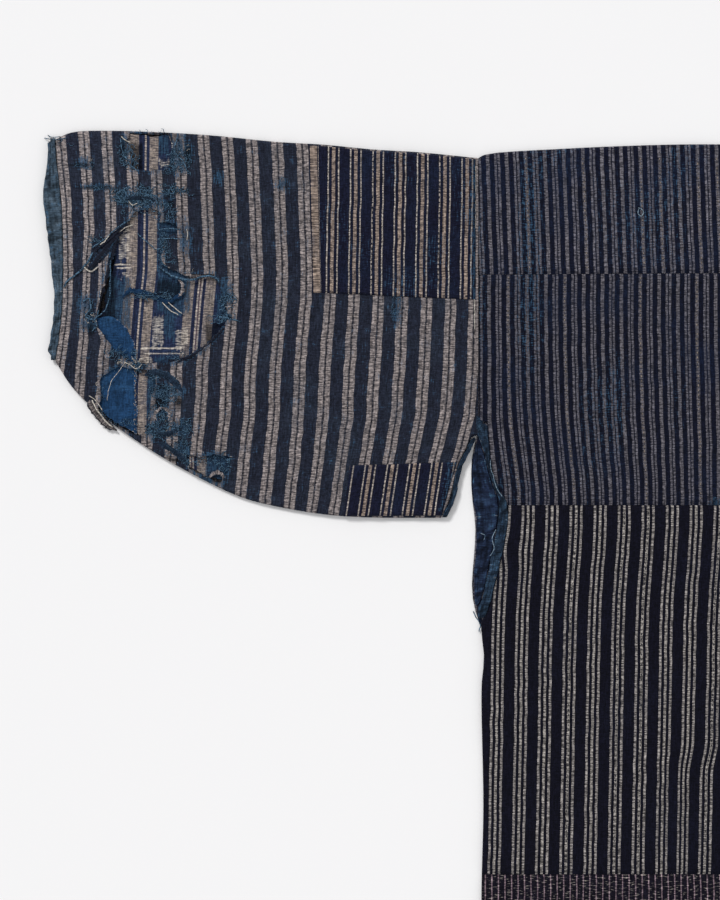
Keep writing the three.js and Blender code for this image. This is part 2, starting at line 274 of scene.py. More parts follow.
def cottonMaterial(name, recipe):
    # Hand-woven cotton. The cloth's own UV map holds mm across the stripes and mm along them.
    material = bpy.data.materials.new(name)
    material.use_nodes = True
    tree = material.node_tree
    shader = tree.nodes["Principled BSDF"]
    plan = add(tree, "ShaderNodeUVMap", uv_map="cloth")
    across = add(tree, "ShaderNodeSeparateXYZ", {0: plan})
    along = across.node.outputs[1]
    thread = recipe["thread"]  # mm from thread to thread, drawn about twice as coarse as real so that it shows

    # uneven threads: streaks along the warp, short flecks along the weft
    warpPlan = add(tree, "ShaderNodeVectorMath", {0: plan, 1: (1 / thread, 0.12 / thread, 0)}, operation="MULTIPLY")
    warp = add(tree, "ShaderNodeTexNoise", {"Vector": warpPlan, "Scale": 1.0, "Detail": 1.0, "Roughness": 0.6})
    weftPlan = add(tree, "ShaderNodeVectorMath", {0: plan, 1: (0.22 / thread, 1 / thread, 0)}, operation="MULTIPLY")
    weft = add(tree, "ShaderNodeTexNoise", {"Vector": weftPlan, "Scale": 1.0, "Detail": 1.5, "Roughness": 0.65})
    patchy = add(tree, "ShaderNodeTexNoise", {"Vector": plan, "Scale": 1 / recipe["blotch"], "Detail": 4.0})

    # the stripes, their edges shifted a little by every weft thread
    shift = add(tree, "ShaderNodeMath", {0: weft, 1: 0.5}, operation="SUBTRACT")
    shifted = add(
        tree, "ShaderNodeMath", {0: shift, 1: recipe["ragged"], 2: across}, operation="MULTIPLY_ADD"
    )
    repeats = add(tree, "ShaderNodeMath", {0: shifted, 1: recipe["repeat"]}, operation="DIVIDE")
    place = add(tree, "ShaderNodeMath", {0: repeats}, operation="FRACT")
    stripes = add(tree, "ShaderNodeValToRGB", {0: place})
    bands = stripeStops(recipe["ground"], recipe["stripes"], recipe["repeat"])
    setStops(stripes.node.color_ramp, bands, "CONSTANT")

    # dark weft threads show between the warp threads of the stripes
    gaps = add(tree, "ShaderNodeMapRange", {0: weft, 1: 0.58, 2: 0.43, 3: 0.0, 4: recipe["gaps"]})
    broken = add(tree, "ShaderNodeMix", {0: gaps, 6: stripes, 7: linear(recipe["ground"])}, out=2, data_type="RGBA")

    # fading: broad blotches and worn places painted on the cloth; the blue and pale fields also carry painted
    # highlights on the bindings' ridges and along the indigo mend's raised edge
    blotches = add(tree, "ShaderNodeMapRange", {0: patchy, 1: 0.48, 2: 0.72, 3: 0.0, 4: recipe["fade"]})
    faded = add(tree, "ShaderNodeMix", {0: blotches, 6: broken, 7: linear(recipe["faded"])}, out=2, data_type="RGBA")
    blueField = add(tree, "ShaderNodeAttribute", attribute_name="blue", out=2)
    blueEdge = add(tree, "ShaderNodeMath", {0: weft, 1: warp}, operation="ADD")
    blueWay = add(tree, "ShaderNodeMath", {0: blueEdge, 1: 2.4, 2: blueField}, operation="MULTIPLY_ADD")
    blueSpread = add(tree, "ShaderNodeMapRange", {0: blueWay, 1: 2.75, 2: 3.05, 3: 0.0, 4: 0.85})
    blueThere = add(tree, "ShaderNodeMath", {0: blueField, 1: 5.0}, operation="MULTIPLY", use_clamp=True)
    blueMask = add(tree, "ShaderNodeMath", {0: blueSpread, 1: blueThere}, operation="MULTIPLY")
    blueTone = add(tree, "ShaderNodeMix", {0: warp, 6: linear("#0e1b2e"), 7: linear("#34516a")}, out=2, data_type="RGBA")
    blued = add(tree, "ShaderNodeMix", {0: blueMask, 6: faded, 7: blueTone}, out=2, data_type="RGBA")
    paleField = add(tree, "ShaderNodeAttribute", attribute_name="pale", out=2)
    paleWay = add(tree, "ShaderNodeMath", {0: weft, 1: 1.4, 2: paleField}, operation="MULTIPLY_ADD")
    paleMask = add(tree, "ShaderNodeMapRange", {0: paleWay, 1: 1.15, 2: 1.6, 3: 0.0, 4: 0.85})
    paled = add(tree, "ShaderNodeMix", {0: paleMask, 6: blued, 7: linear("#b9b2a8")}, out=2, data_type="RGBA")

    # light and dark threads
    threads = add(tree, "ShaderNodeMath", {0: warp, 1: weft}, operation="ADD")
    speckle = recipe["speckle"]
    tone = add(tree, "ShaderNodeMapRange", {0: threads, 1: 0.75, 2: 1.25, 3: 1 - speckle, 4: 1 + speckle})
    # every crossing of warp and weft has a tone of its own
    size = (thread * 0.75, thread * 0.85, 1)
    crossings = add(tree, "ShaderNodeVectorMath", {0: plan, 1: size}, operation="SNAP")
    crossing = add(tree, "ShaderNodeTexWhiteNoise", {"Vector": crossings}, noise_dimensions="3D")
    grain = add(tree, "ShaderNodeMapRange", {0: crossing, 3: 1 - recipe["grain"], 4: 1 + recipe["grain"]})
    # dim darkens the colour: painted shade in slits, creases, gaps, on curled flaps and inside the sleeve, and here and
    # there a darker tone of the cloth
    dimField = add(tree, "ShaderNodeAttribute", attribute_name="dim", out=2)
    dim = add(tree, "ShaderNodeMath", {0: dimField, 1: -0.85, 2: 1.0}, operation="MULTIPLY_ADD")
    dimmed = add(tree, "ShaderNodeMath", {0: tone, 1: dim}, operation="MULTIPLY")
    toned = add(tree, "ShaderNodeMath", {0: dimmed, 1: grain}, operation="MULTIPLY")
    colour = add(tree, "ShaderNodeVectorMath", {0: paled, "Scale": toned}, operation="SCALE")
    tree.links.new(colour, shader.inputs["Base Color"])

    # relief of the weave: ribs from the weft, cut by the warp
    relief = add(tree, "ShaderNodeMath", {0: weft, 1: 1.2, 2: warp}, operation="MULTIPLY_ADD")
    bump = add(tree, "ShaderNodeBump", {"Height": relief, "Strength": recipe["relief"], "Distance": 0.0007})
    tree.links.new(bump, shader.inputs["Normal"])
    shader.inputs["Roughness"].default_value = 0.92
    shader.inputs["Specular IOR Level"].default_value = 0.1
    shader.inputs["Sheen Weight"].default_value = 0.04
    shader.inputs["Sheen Roughness"].default_value = 0.5
    shader.inputs["Sheen Tint"].default_value = linear("#8fa0b8")
    return material


cloths = {
    # charcoal ramie-like cotton, taupe stripes in pairs, bluish where it is worn
    "pairedStripeCotton": {
        "thread": 1.25,
        "blotch": 34,
        "ragged": 0.9,
        "repeat": 20.6,
        "ground": "#1f2330",
        "stripes": [(7.5, 3.9, "#8f8684"), (10.3, 1.7, "#4a474a"), (13.1, 3.9, "#8f8684")],
        "gaps": 0.6,
        "fade": 0.35,
        "faded": "#2e3846",
        "speckle": 0.42,
        "grain": 0.28,
        "relief": 0.6,
    },
    # navy, a beige stripe broken into dots between two fine white lines
    "dottedStripeCotton": {
        "thread": 1.15,
        "blotch": 40,
        "ragged": 0.6,
        "repeat": 19.35,
        "ground": "#131527",
        "stripes": [(5.2, 1.1, "#aaa198"), (9.7, 2.9, "#97877b"), (14.2, 1.1, "#aaa198")],
        "gaps": 0.6,
        "fade": 0.3,
        "faded": "#1a2940",
        "speckle": 0.42,
        "grain": 0.3,
        "relief": 0.55,
    },
    # navy, grey-taupe lines, one broad and then a pair
    "fineStripeCotton": {
        "thread": 1.15,
        "blotch": 50,
        "ragged": 0.8,
        "repeat": 16.3,
        "ground": "#0f1222",
        "stripes": [(4.1, 3.0, "#67646a"), (10.75, 1.9, "#64626a"), (13.65, 1.9, "#64626a")],
        "gaps": 0.6,
        "fade": 0.4,
        "faded": "#13213a",
        "speckle": 0.42,
        "grain": 0.32,
        "relief": 0.55,
    },
    # very dark navy, cream-grey lines in threes
    "tripleStripeCotton": {
        "thread": 1.2,
        "blotch": 55,
        "ragged": 0.7,
        "repeat": 20.4,
        "ground": "#0c0c18",
        "stripes": [(5.73, 2.0, "#8f8a87"), (10.2, 2.1, "#97928d"), (14.67, 2.0, "#8f8a87")],
        "gaps": 0.65,
        "fade": 0.25,
        "faded": "#131728",
        "speckle": 0.42,
        "grain": 0.3,
        "relief": 0.55,
    },
    # purple-navy, hairlines
    "pinStripeCotton": {
        "thread": 1.1,
        "blotch": 50,
        "ragged": 0.5,
        "repeat": 5.6,
        "ground": "#100e19",
        "stripes": [(2.8, 1.0, "#86737c")],
        "gaps": 0.6,
        "fade": 0.25,
        "faded": "#191627",
        "speckle": 0.45,
        "grain": 0.35,
        "relief": 0.55,
    },
    # indigo, no stripes
    "indigoCotton": {
        "thread": 1.2,
        "blotch": 26,
        "ragged": 0.5,
        "repeat": 40,
        "ground": "#1e3d60",
        "stripes": [],
        "gaps": 0.2,
        "fade": 0.6,
        "faded": "#2d4f71",
        "speckle": 0.4,
        "grain": 0.2,
        "relief": 0.6,
    },
    # the dark indigo of the facing
    "facingCotton": {
        "thread": 1.2,
        "blotch": 9,
        "ragged": 0.5,
        "repeat": 40,
        "ground": "#1b253b",
        "stripes": [],
        "gaps": 0.2,
        "fade": 0.8,
        "faded": "#30425f",
        "speckle": 0.5,
        "grain": 0.3,
        "relief": 0.7,
    },
    # greenish indigo of the bindings, rubbed pale and painted with highlights on its folds
    "indigoBinding": {
        "thread": 1.2,
        "blotch": 9,
        "ragged": 0.5,
        "repeat": 40,
        "ground": "#202e40",
        "stripes": [],
        "gaps": 0.2,
        "fade": 0.8,
        "faded": "#364d62",
        "speckle": 0.5,
        "grain": 0.3,
        "relief": 0.8,
    },
}
# kasuri, a cloth with resist-dyed threads: taupe bands and sets of four fine lines over its whole width
kasuri = {
    "left": -626.0,
    "width": 130.0,
    "bands": [
        (-598.3, 9.0, "#8b8078"),
        (-592.4, 2.0, "#191c31"),
        (-590.6, 1.6, "#b9afa4"),
        (-589.2, 1.2, "#54424b"),
        (-587.8, 1.6, "#aca197"),
        (-586.0, 2.0, "#191c31"),
        (-580.9, 7.6, "#8b8078"),
        (-576.6, 1.0, "#bdb5a8"),
        (-546.6, 7.6, "#857b74"),
        (-540.9, 1.7, "#1c1f33"),
        (-539.2, 1.5, "#a89e96"),
        (-537.8, 1.2, "#54424b"),
        (-536.4, 1.5, "#9d938b"),
        (-534.6, 1.9, "#1c1f33"),
        (-528.9, 8.4, "#857b74"),
    ],
}
cloths["kasuriCotton"] = {
    "thread": 1.15,
    "blotch": 20,
    "ragged": 0.35,
    "repeat": kasuri["width"],
    "ground": "#222b45",
    "stripes": [(middle - kasuri["left"], width, colour) for middle, width, colour in kasuri["bands"]],
    "gaps": 0.5,
    "fade": 0.3,
    "faded": "#32415a",
    "speckle": 0.42,
    "grain": 0.25,
    "relief": 0.6,
}
# the cuff's binding has faded most
cloths["fadedBinding"] = {**cloths["indigoBinding"], "ground": "#3d4d5c", "faded": "#5b6b7a"}
materials = {name: cottonMaterial(name, recipe) for name, recipe in cloths.items()}


def threadMaterial(name, dark, light):
    # hand-spun thread: a soft twist of lighter and darker fibre
    material = bpy.data.materials.new(name)
    material.use_nodes = True
    tree = material.node_tree
    shader = tree.nodes["Principled BSDF"]
    place = add(tree, "ShaderNodeTexCoord", out=3)
    fibre = add(tree, "ShaderNodeTexNoise", {"Vector": place, "Scale": 900.0, "Detail": 2.0})
    twist = add(tree, "ShaderNodeMapRange", {0: fibre, 1: 0.38, 2: 0.64, 3: 0.0, 4: 1.0})
    colour = add(tree, "ShaderNodeMix", {0: twist, 6: linear(dark), 7: linear(light)}, out=2, data_type="RGBA")
    tree.links.new(colour, shader.inputs["Base Color"])
    shader.inputs["Roughness"].default_value = 0.9
    shader.inputs["Specular IOR Level"].default_value = 0.15
    return material


threadColours = {
    "indigoThread": ("#0b1524", "#5b7d98"),
    "rubbedThread": ("#41586b", "#93a7b6"),
    "darkThread": ("#0c0e18", "#232838"),
    "creamThread": ("#8f8b84", "#d8d2c8"),
    "taupeThread": ("#5d554f", "#978b80"),
}
threads = {name: threadMaterial(name, *pair) for name, pair in threadColours.items()}
print("materials ready")


def finishPiece(piece, node, material):
    # gives the piece its material, hangs it on the root and hides the CAD part it stands for
    piece.data.materials.clear()
    piece.data.materials.append(materials[material])
    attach(piece, "root")
    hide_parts(node)
    return piece


# the heights of the laid cloth
sleeve = {
    "step": 2.3,
    "tornStep": 1.35,
    "tornZone": (-650.0, -505.0),
    "foldRound": 4.0,  # how far in from the top fold and the bottom seam the cloth rounds over
    # middles of the pairs of stripes, halfway down the sleeve
    "pairs": [-653.2, -633.8, -615.0, -595.3, -574.8, -554.0, -532.4, -512.3, -491.6, -470.1, -449.3, -428.4]
    + [-408.1, -387.4, -366.7, -346.2, -325.7, -305.6],
    # how far the stripes lean away from there at other heights, for six places across the sleeve
    "leanHeights": [20.0, 10.0, -40.0, -100.0, -125.0, -140.0, -177.0, -225.0, -262.0, -310.0],
    "leanPlaces": [-653.0, -633.0, -595.0, -512.0, -450.0, -387.0, -306.0],
    "lean": [
        [-8.0, -6.8, -2.1, 0.0, -0.6, -1.3, -6.9, -12.0, -16.0, -22.0],
        [-7.0, -5.9, -2.6, 0.0, -1.4, -3.9, -8.8, -12.0, -16.0, -22.0],
        [-5.5, -4.8, -2.3, 0.0, -0.8, -2.6, -7.8, -10.2, -13.0, -18.0],
        [-5.3, -4.6, -1.6, 0.0, -0.1, -1.2, -5.0, -6.9, -11.5, -16.5],
        [-5.0, -4.1, -2.0, 0.5, -0.4, -1.6, -5.4, -7.2, -10.0, -15.5],
        [-3.0, -2.3, -1.0, 0.0, -0.2, -0.8, -2.8, -5.6, -11.3, -19.5],
        [-1.8, -1.4, -0.5, 0.0, -0.1, -0.3, -1.0, -4.0, -14.5, -29.0],
    ],
}


def sleeveLean(x, y):
    # interpolates the lean between the listed heights and places
    heights = np.array(sleeve["leanHeights"])[::-1]
    rows = np.array(sleeve["lean"])[:, ::-1]
    columns = np.stack([np.interp(y, heights, row) for row in rows])
    places = np.array(sleeve["leanPlaces"])
    at = np.clip(np.interp(x, places, np.arange(len(places))), 0, len(places) - 1.001)
    k = at.astype(int)
    share = at - k
    near = np.take_along_axis(columns, k[None], 0)[0]
    far = np.take_along_axis(columns, k[None] + 1, 0)[0]
    return near * (1 - share) + far * share


def slitBend(x, y):
    # beside the long slit the cloth is dragged towards the cuff
    return -9.0 * np.exp(-(((x + 622) / 16) ** 2)) * ease((-62 - y) / 30) * ease((y + 162) / 22)


def sleeveStripes(x, y):
    # mm across the stripes, so that a pair's middle falls on half a repeat
    x, y = np.asarray(x, float), np.asarray(y, float)
    x = x - slitBend(x, y)
    rest = x - sleeveLean(x, y)
    rest = x - sleeveLean(rest, y)
    pairs = np.array(sleeve["pairs"])
    count = np.interp(rest, pairs, np.arange(len(pairs)))
    count += (np.minimum(rest - pairs[0], 0) + np.maximum(rest - pairs[-1], 0)) / 20.6
    wave = 0.45 * softNoise(x * 0.25, y, 11, 15) + 0.3 * softNoise(x * 0.5, y, 4, 16)
    return (count + 0.5) * 20.6 + wave


def sleeveHeight(x, y):
    height = coat["sleeveLevel"] + 0.9 * softNoise(x, y, 70, 1) + 0.4 * softNoise(x, y, 21, 2)
    quilt = -0.3 * np.cos(sleeveStripes(x, y) / 20.6 * 2 * math.pi)  # the rows of stitches pull the stripes down
    crease = -1.0 * np.exp(-(((y + 140 + 0.06 * (x + 520)) / 7) ** 2)) * ease((x + 545) / 30) * ease((-400 - x) / 60)
    crown = 1.2 * ease((20 - y) / 60) * ease((y + 312) / 70)
    return height + quilt + crease + crown - 0.9


sleeveColumns = np.linspace(coat["cuff"], coat["armhole"] - 0.1, 240)
sleeveLow, sleeveTopLine = reach("sleeve_left", 1, sleeveColumns)


def sleeveSurface(x, y):
    # the sleeve's top face with its rounded fold and seam, for what lies on it or just under it
    over = np.minimum(np.interp(x, sleeveColumns, sleeveTopLine) - y, y - np.interp(x, sleeveColumns, sleeveLow))
    rounding = np.sqrt(1 - (1 - np.clip((over + 0.4) / sleeve["foldRound"], 0.03, 1)) ** 2)
    height = sleeveHeight(x, y) - 1.6 * (1 - ease((coat["armhole"] - x) / 5))
    return 3.0 + (height - 3.0) * rounding


def backLean(x, y):
    # the stripes of the back lean towards the middle beside the side opening
    edge = ease((x + 302) / 40)
    reachIn = 1 - ease((x + 300) / 300)
    return (ease((-215 - y) / 90) * (5.0 + 5.0 * edge)) * reachIn


def backHeight(x, y):
    height = coat["backLevel"] + 0.9 * softNoise(x, y, 95, 3) + 0.35 * softNoise(x, y, 24, 4)
    return height + 0.25 * softNoise(x * 2.2, y * 0.35, 20, 5)


# the sleeve's back is worn through in three places
holes = {
    "seam": [(-604, 13), (-600, 18), (-584, 18.5), (-568, 18), (-563, 8), (-566, -6), (-568, -13), (-584, -15), (-598, -13)],
    "wide": [(-603, -58), (-596, -49), (-584, -46), (-575, -50), (-575, -58), (-561, -59), (-560, -68)]
    + [(-569, -71), (-571, -82), (-573, -91), (-566, -99), (-557, -101), (-544, -103), (-529, -104), (-524, -111), (-522, -125), (-513, -140), (-522, -150), (-538, -167)]
    + [(-555, -176), (-571, -179), (-584, -180), (-595, -180), (-601, -178), (-614, -169), (-627, -150)]
    + [(-629, -140), (-624, -116), (-617, -86), (-611, -71)],
    "low": [(-608, -182), (-626, -190), (-626, -211), (-628, -218), (-617, -231), (-603, -238)]
    + [(-594, -241), (-585, -240), (-584, -214), (-578, -198), (-578, -186), (-588, -184)],
    "corner": [(-552, -258), (-540, -260), (-528, -257), (-513, -259), (-516, -272), (-523, -282), (-537, -276), (-551, -270)],
}


def raggedOutline(points, seed):
    # a torn edge: the outline wanders, and every few mm a thread has let go
    closed = np.array(points + points[:1], float)
    line = []
    for a, b in zip(closed[:-1], closed[1:]):
        steps = max(int(np.linalg.norm(b - a) / 1.1), 1)
        line += [a + (b - a) * k / steps for k in range(steps)]
    line = np.array(line)
    along = np.arange(len(line)) * 1.1
    way = np.roll(line, -1, axis=0) - np.roll(line, 1, axis=0)
    out = np.stack([way[:, 1], -way[:, 0]], 1) / np.maximum(np.linalg.norm(way, axis=1), 1e-6)[:, None]
    wander = 1.3 * softNoise(along, 0, 9, seed) + 0.8 * softNoise(along, 0, 2.4, seed + 1)
    return line + out * wander[:, None]


tornEdges = {name: raggedOutline(points, 40 + k) for k, (name, points) in enumerate(holes.items())}

# places on the sleeve rubbed down to the blue cloth under it: middle, reach across and along
bluePlaces = [
    (-603, 8, 7, 9), (-560, 0, 8, 16), (-552, 3, 6, 9), (-605, -37, 10, 7), (-587, -40, 12, 8), (-571, -41, 6, 7),
    (-553, -74, 5, 16), (-519, -118, 6, 12), (-583, -191, 6, 6), (-574, -205, 10, 7), (-561, -203, 7, 6),
    (-571, -222, 6, 7), (-580, -237, 8, 9), (-556, -235, 8, 7), (-556, -254, 7, 7), (-540, -265, 12, 6),
    (-531, -279, 12, 6), (-636, -146, 8, 6), (-640, -128, 7, 8), (-371, -134, 4, 14), (-470, -26, 5, 6),
    (-524, -20, 5, 5), (-590, -258, 8, 5), (-640, -8, 6, 5), (-628, -28, 14, 3),
]


def bluePatches(x, y):
    field = np.zeros(np.shape(x))
    for cx, cy, rx, ry in bluePlaces:
        field = np.maximum(field, 1.15 - 0.75 * np.hypot((x - cx) / rx, (y - cy) / ry))
    return np.clip(field + 0.2 * softNoise(x, y, 4, 11), 0, 1)


# painted shade in slits and deep creases: middle, reach across and along
slitShadePlaces = [
    (-643, -9.3, 11, 1.6), (-629, -28.8, 17, 1.5), (-606, 3, 3, 9), (-551, -2, 3, 9), (-605, -40, 5, 3),
    (-566, -43, 4, 3), (-574, -214, 5, 4), (-559, -213, 3, 5), (-634, -150, 3, 6), (-561, -262, 7, 2),
]


def slitShade(x, y):
    field = np.zeros(np.shape(x))
    for cx, cy, rx, ry in slitShadePlaces:
        field = np.maximum(field, 1.5 - 1.1 * np.hypot((x - cx) / rx, (y - cy + 0.8 * softNoise(x, 0, 5, 14)) / ry))
    return np.clip(field, 0, 0.95)


def makeSleeve(side):
    worn = side == "left"
    sign = 1 if worn else -1
    node = "sleeve_left"
    leftX, rightX = coat["cuff"] - 0.2, coat["armhole"]
    if worn:
        zoneLow, zoneHigh = sleeve["tornZone"]
        columns = np.concatenate(
            [
                leftX + spaced(zoneLow - leftX, sleeve["tornStep"], True, False),
                np.arange(zoneLow, zoneHigh, sleeve["tornStep"])[1:],
                zoneHigh + spaced(rightX - zoneHigh, 2.9, False, True),
            ]
        )
    else:
        columns = leftX + spaced(rightX - leftX, 5.0)
    s = (columns - leftX) / (rightX - leftX)
    low, high = reach(node, 1, columns)
    depth = 330.0
    backStep = 1.85 if worn else 5.0
    t = spaced(depth, backStep) / depth
    cuffY = low[0] + t * (high[0] - low[0])
    cuffX = reach(node, 0, cuffY)[0]
    plan = fourSided(
        np.stack([columns, low], 1),
        np.stack([columns, high], 1),
        np.stack([cuffX, cuffY], 1),
        np.stack([np.full(len(t), rightX), low[-1] + t * (high[-1] - low[-1])], 1),
        s,
        t,
    )
    x, y = plan[..., 0], plan[..., 1]
    lowY, highY = y[:, :1], y[:, -1:]
    edge = np.minimum(y - lowY, highY - y)
    fromCuff = np.minimum(x - x[:1], 60)
    fromArmhole = rightX - x
    rounding = np.sqrt(1 - (1 - np.clip(edge / sleeve["foldRound"], 0, 1)) ** 2)
    top = sleeveHeight(x, y)
    top = top - 1.3 * (1 - ease(fromCuff / 5)) - 1.6 * (1 - ease(fromArmhole / 5))
    top = top + 0.35 * softNoise(y, 0, 9, 6) * np.exp(-fromArmhole / 9)
    top = top + 0.4 * softNoise(x, 0, 11, 7) * np.exp(-edge / 10)
    outline = {name: nearest(edgeLine, x, y) for name, edgeLine in tornEdges.items()} if worn else {}
    beside = np.full(x.shape, 1e3)
    for place, off in outline.values():
        beside = np.minimum(beside, off)
    # worn edges of the holes lift and thin
    top = top + 0.9 * np.exp(-((beside / 3.5) ** 2)) * (0.4 + softNoise(x, y, 7, 8))
    middle = 3.0
    wall = coat["cloth"] * (1 - 0.45 * np.exp(-beside / 2.5))
    outerTop = middle + (top - middle) * rounding
    innerTop = middle + (top - wall - middle) * rounding * 0.98
    squeeze = 1 - 2 * coat["cloth"] / np.maximum(highY - lowY, 1)
    innerY = (y - (lowY + highY) / 2) * squeeze + (lowY + highY) / 2
    backOuter = np.stack([x, y, outerTop], -1)
    backInner = np.stack([x, innerY, innerTop], -1)

    keepBack = np.ones((x.shape[0] - 1, x.shape[1] - 1), bool)
    if worn:
        middleX = (x[:-1, :-1] + x[1:, 1:] + x[1:, :-1] + x[:-1, 1:]) / 4
        middleY = (y[:-1, :-1] + y[1:, 1:] + y[1:, :-1] + y[:-1, 1:]) / 4
        for name, edgeLine in tornEdges.items():
            keepBack &= ~inside(edgeLine, middleX, middleY)
        full = np.pad(keepBack, 1, constant_values=True)
        touched = np.stack([full[:-1, :-1], full[1:, :-1], full[:-1, 1:], full[1:, 1:]])
        rim = touched.any(0) & ~touched.all(0)
        for place, off in outline.values():
            snap = rim & (off < 1.6)
            backOuter[snap, :2] = place[snap]
            backInner[snap, :2] = place[snap]

    # the front layer lies on the floor, on fewer rows
    frontT = spaced(depth, 9.0)[::-1] / depth
    frontY = lowY + (highY - lowY) * frontT[None]
    frontX = np.stack([np.interp(frontT, t, row) for row in x])
    frontEdge = np.minimum(frontY - lowY, highY - frontY)
    frontRound = np.sqrt(1 - (1 - np.clip(frontEdge / sleeve["foldRound"], 0, 1)) ** 2)
    frontInnerY = (frontY - (lowY + highY) / 2) * squeeze + (lowY + highY) / 2
    frontOuter = np.stack([frontX, frontY, middle * (1 - frontRound)], -1)
    frontInner = np.stack([frontX, frontInnerY, middle - (middle - coat["cloth"]) * frontRound * 0.98], -1)
    # the back's last row and the front's first row are the same line along the fold
    outer = np.concatenate([backOuter, frontOuter[:, 1:-1]], axis=1)
    inner = np.concatenate([backInner, frontInner[:, 1:-1]], axis=1)
    keep = np.ones((outer.shape[0] - 1, outer.shape[1]), bool)
    keep[:, : keepBack.shape[1]] = keepBack

    flatX, flatY = outer[..., 0], outer[..., 1]
    uv = np.stack([sleeveStripes(flatX, flatY), flatY], -1)
    field = np.zeros(flatX.shape)
    backField = np.concatenate([np.ones(x.shape), np.zeros((x.shape[0], flatX.shape[1] - x.shape[1]))], 1)
    # little light gets inside the sleeve
    fields = {"blue": field, "pale": field.copy(), "dim": (field.copy(), 0.95 - 0.4 * backField)}
    if worn:
        allBeside = np.concatenate([beside, np.full((x.shape[0], flatX.shape[1] - x.shape[1]), 1e3)], 1)
        frayed = np.exp(-((allBeside / 3.2) ** 2)) * (0.55 + 0.5 * softNoise(flatX, flatY, 9, 12))
        fields["blue"] = backField * np.maximum(bluePatches(flatX, flatY), 0.85 * frayed)
        fields["pale"] = np.clip(np.exp(-allBeside / 1.2) * (0.25 + 0.8 * softNoise(flatX, flatY, 6, 13)), 0, 1)
        # towards the cuff the cloth is rubbed lighter
        rubbed = 0.2 * ease((-570 - flatX) / 50) * ease((flatY + 190) / 60)
        # painted shade in the slits, less where the cloth is rubbed lighter
        fields["dim"] = (backField * (slitShade(flatX, flatY) - rubbed), 0.95 - 0.4 * backField)
    outer[..., 0] *= sign
    inner[..., 0] *= sign
    piece = clothShell(f"sleeve.{side}", outer, inner, uv, keep, True, fields, flip=not worn)
    return finishPiece(piece, f"sleeve_{side}", "pairedStripeCotton")


# the body's panels
def edgeProfile(distance, kind):
    # how the cloth's middle drops and how its wall narrows near one edge
    if kind == "seam":  # sewn flat to its neighbour, the stitches pull it into a valley
        return 1.1 * (1 - ease(distance / 4.5)), 0.45 + 0.55 * ease(distance / 3)
    if kind == "side":  # folded edge lying on the front's edge
        return 1.0 * (1 - ease(distance / 14)), np.sqrt(1 - (1 - np.clip(distance / 1.6, 0, 0.98)) ** 2)
    if kind == "roll":
        return 0 * distance, np.sqrt(1 - (1 - np.clip(distance / 1.5, 0, 0.98)) ** 2)
    return 0 * distance, 1 + 0 * distance


def edgeDistances(plan):
    acrossSteps = np.linalg.norm(np.diff(plan, axis=0), axis=2)
    alongSteps = np.linalg.norm(np.diff(plan, axis=1), axis=2)
    fromLeft = np.concatenate([np.zeros((1, plan.shape[1])), np.cumsum(acrossSteps, 0)])
    fromBottom = np.concatenate([np.zeros((plan.shape[0], 1)), np.cumsum(alongSteps, 1)], 1)
    return {
        "left": fromLeft,
        "right": fromLeft[-1:] - fromLeft,
        "bottom": fromBottom,
        "top": fromBottom[:, -1:] - fromBottom,
    }


def panelSurfaces(plan, edges, top, wall):
    # top and underside of a panel, given the height of its top
    middle = top - wall / 2
    share = np.ones(top.shape)
    for name, distance in edgeDistances(plan).items():
        drop, narrow = edgeProfile(distance, edges.get(name, "plain"))
        middle = middle - drop
        share = np.minimum(share, narrow)
        if edges.get(name) == "seam":
            line = plan[..., 1] if name in ("left", "right") else plan[..., 0]
            middle = middle + 0.3 * softNoise(line, 0, 8, 21) * np.exp(-distance / 7)
    half = wall / 2 * share
    return np.concatenate([plan, (middle + half)[..., None]], -1), np.concatenate([plan, (middle - half)[..., None]], -1)


panels = {
    "back_upper": {
        "material": "fineStripeCotton",
        "slot": "fine_stripe",
        "corners": ((-301.7, -103.3), (-0.15, -101.3), -301.0),
        "edges": {"left": "seam", "right": "seam", "top": "seam", "bottom": "seam"},
        "first": -292.4,  # the middle of the first broad line at the panel's upper left
        "repeat": 16.2,
        "middle": 4.1,
        "step": 2.5,
    },
    "back_waist": {
        "material": "tripleStripeCotton",
        "slot": "triple_stripe",
        "corners": ((-277.0, -301.3), (-0.15, -301.3), -618.0),
        "edges": {"left": "side", "right": "seam", "top": "seam", "bottom": "seam"},
        "first": -258.9,
        "repeat": 20.4,
        "middle": 10.2,
        "step": 2.5,
    },
    "back_skirt": {
        "material": "pinStripeCotton",
        "slot": "pin_stripe",
        "corners": ((-298.0, -618.3), (-0.15, -618.3), -1150.0),
        "edges": {"left": "side", "right": "seam", "top": "seam", "bottom": "roll"},
        "first": -290.0,
        "repeat": 5.6,
        "middle": 2.8,
        "step": 4.5,
    },
}


def backStripes(node, x, y):
    # mm across the stripes of a back panel, from how its stripes lean
    spec = panels.get(node, {"first": -292.7, "repeat": 16.4, "middle": 4.1})
    if node == "shoulder":
        lean = (-38.0 - y) / 50 * 1.9
    elif node == "back_upper":
        lean = backLean(x, y) + 1.9 * np.exp(-(((y + 228) / 48) ** 2)) * ease((x + 300) / 40)
    elif node == "back_waist":
        lean = -5.6 * ease((-301 - y) / 116) - 3.0 * (-417 - y) / 180 * (y < -417)
        lean = lean - 4.4 * ease((x + 152) / 38) * ease((-500 - y) / 34)
        lean = lean + 1.5 * ease((x + 290) / 200) - 3.0 * np.exp(-(((y + 338) / 14) ** 2)) * (1 - ease((x + 290) / 40))
    else:
        lean = 0 * x
    flat = x - spec["first"] - lean + 0.3 * softNoise(x * 0.25, y, 12, 17) + 0.2 * softNoise(x * 0.5, y, 4, 18)
    return flat * cloths[spec.get("material", "fineStripeCotton")]["repeat"] / spec["repeat"] + spec["middle"]


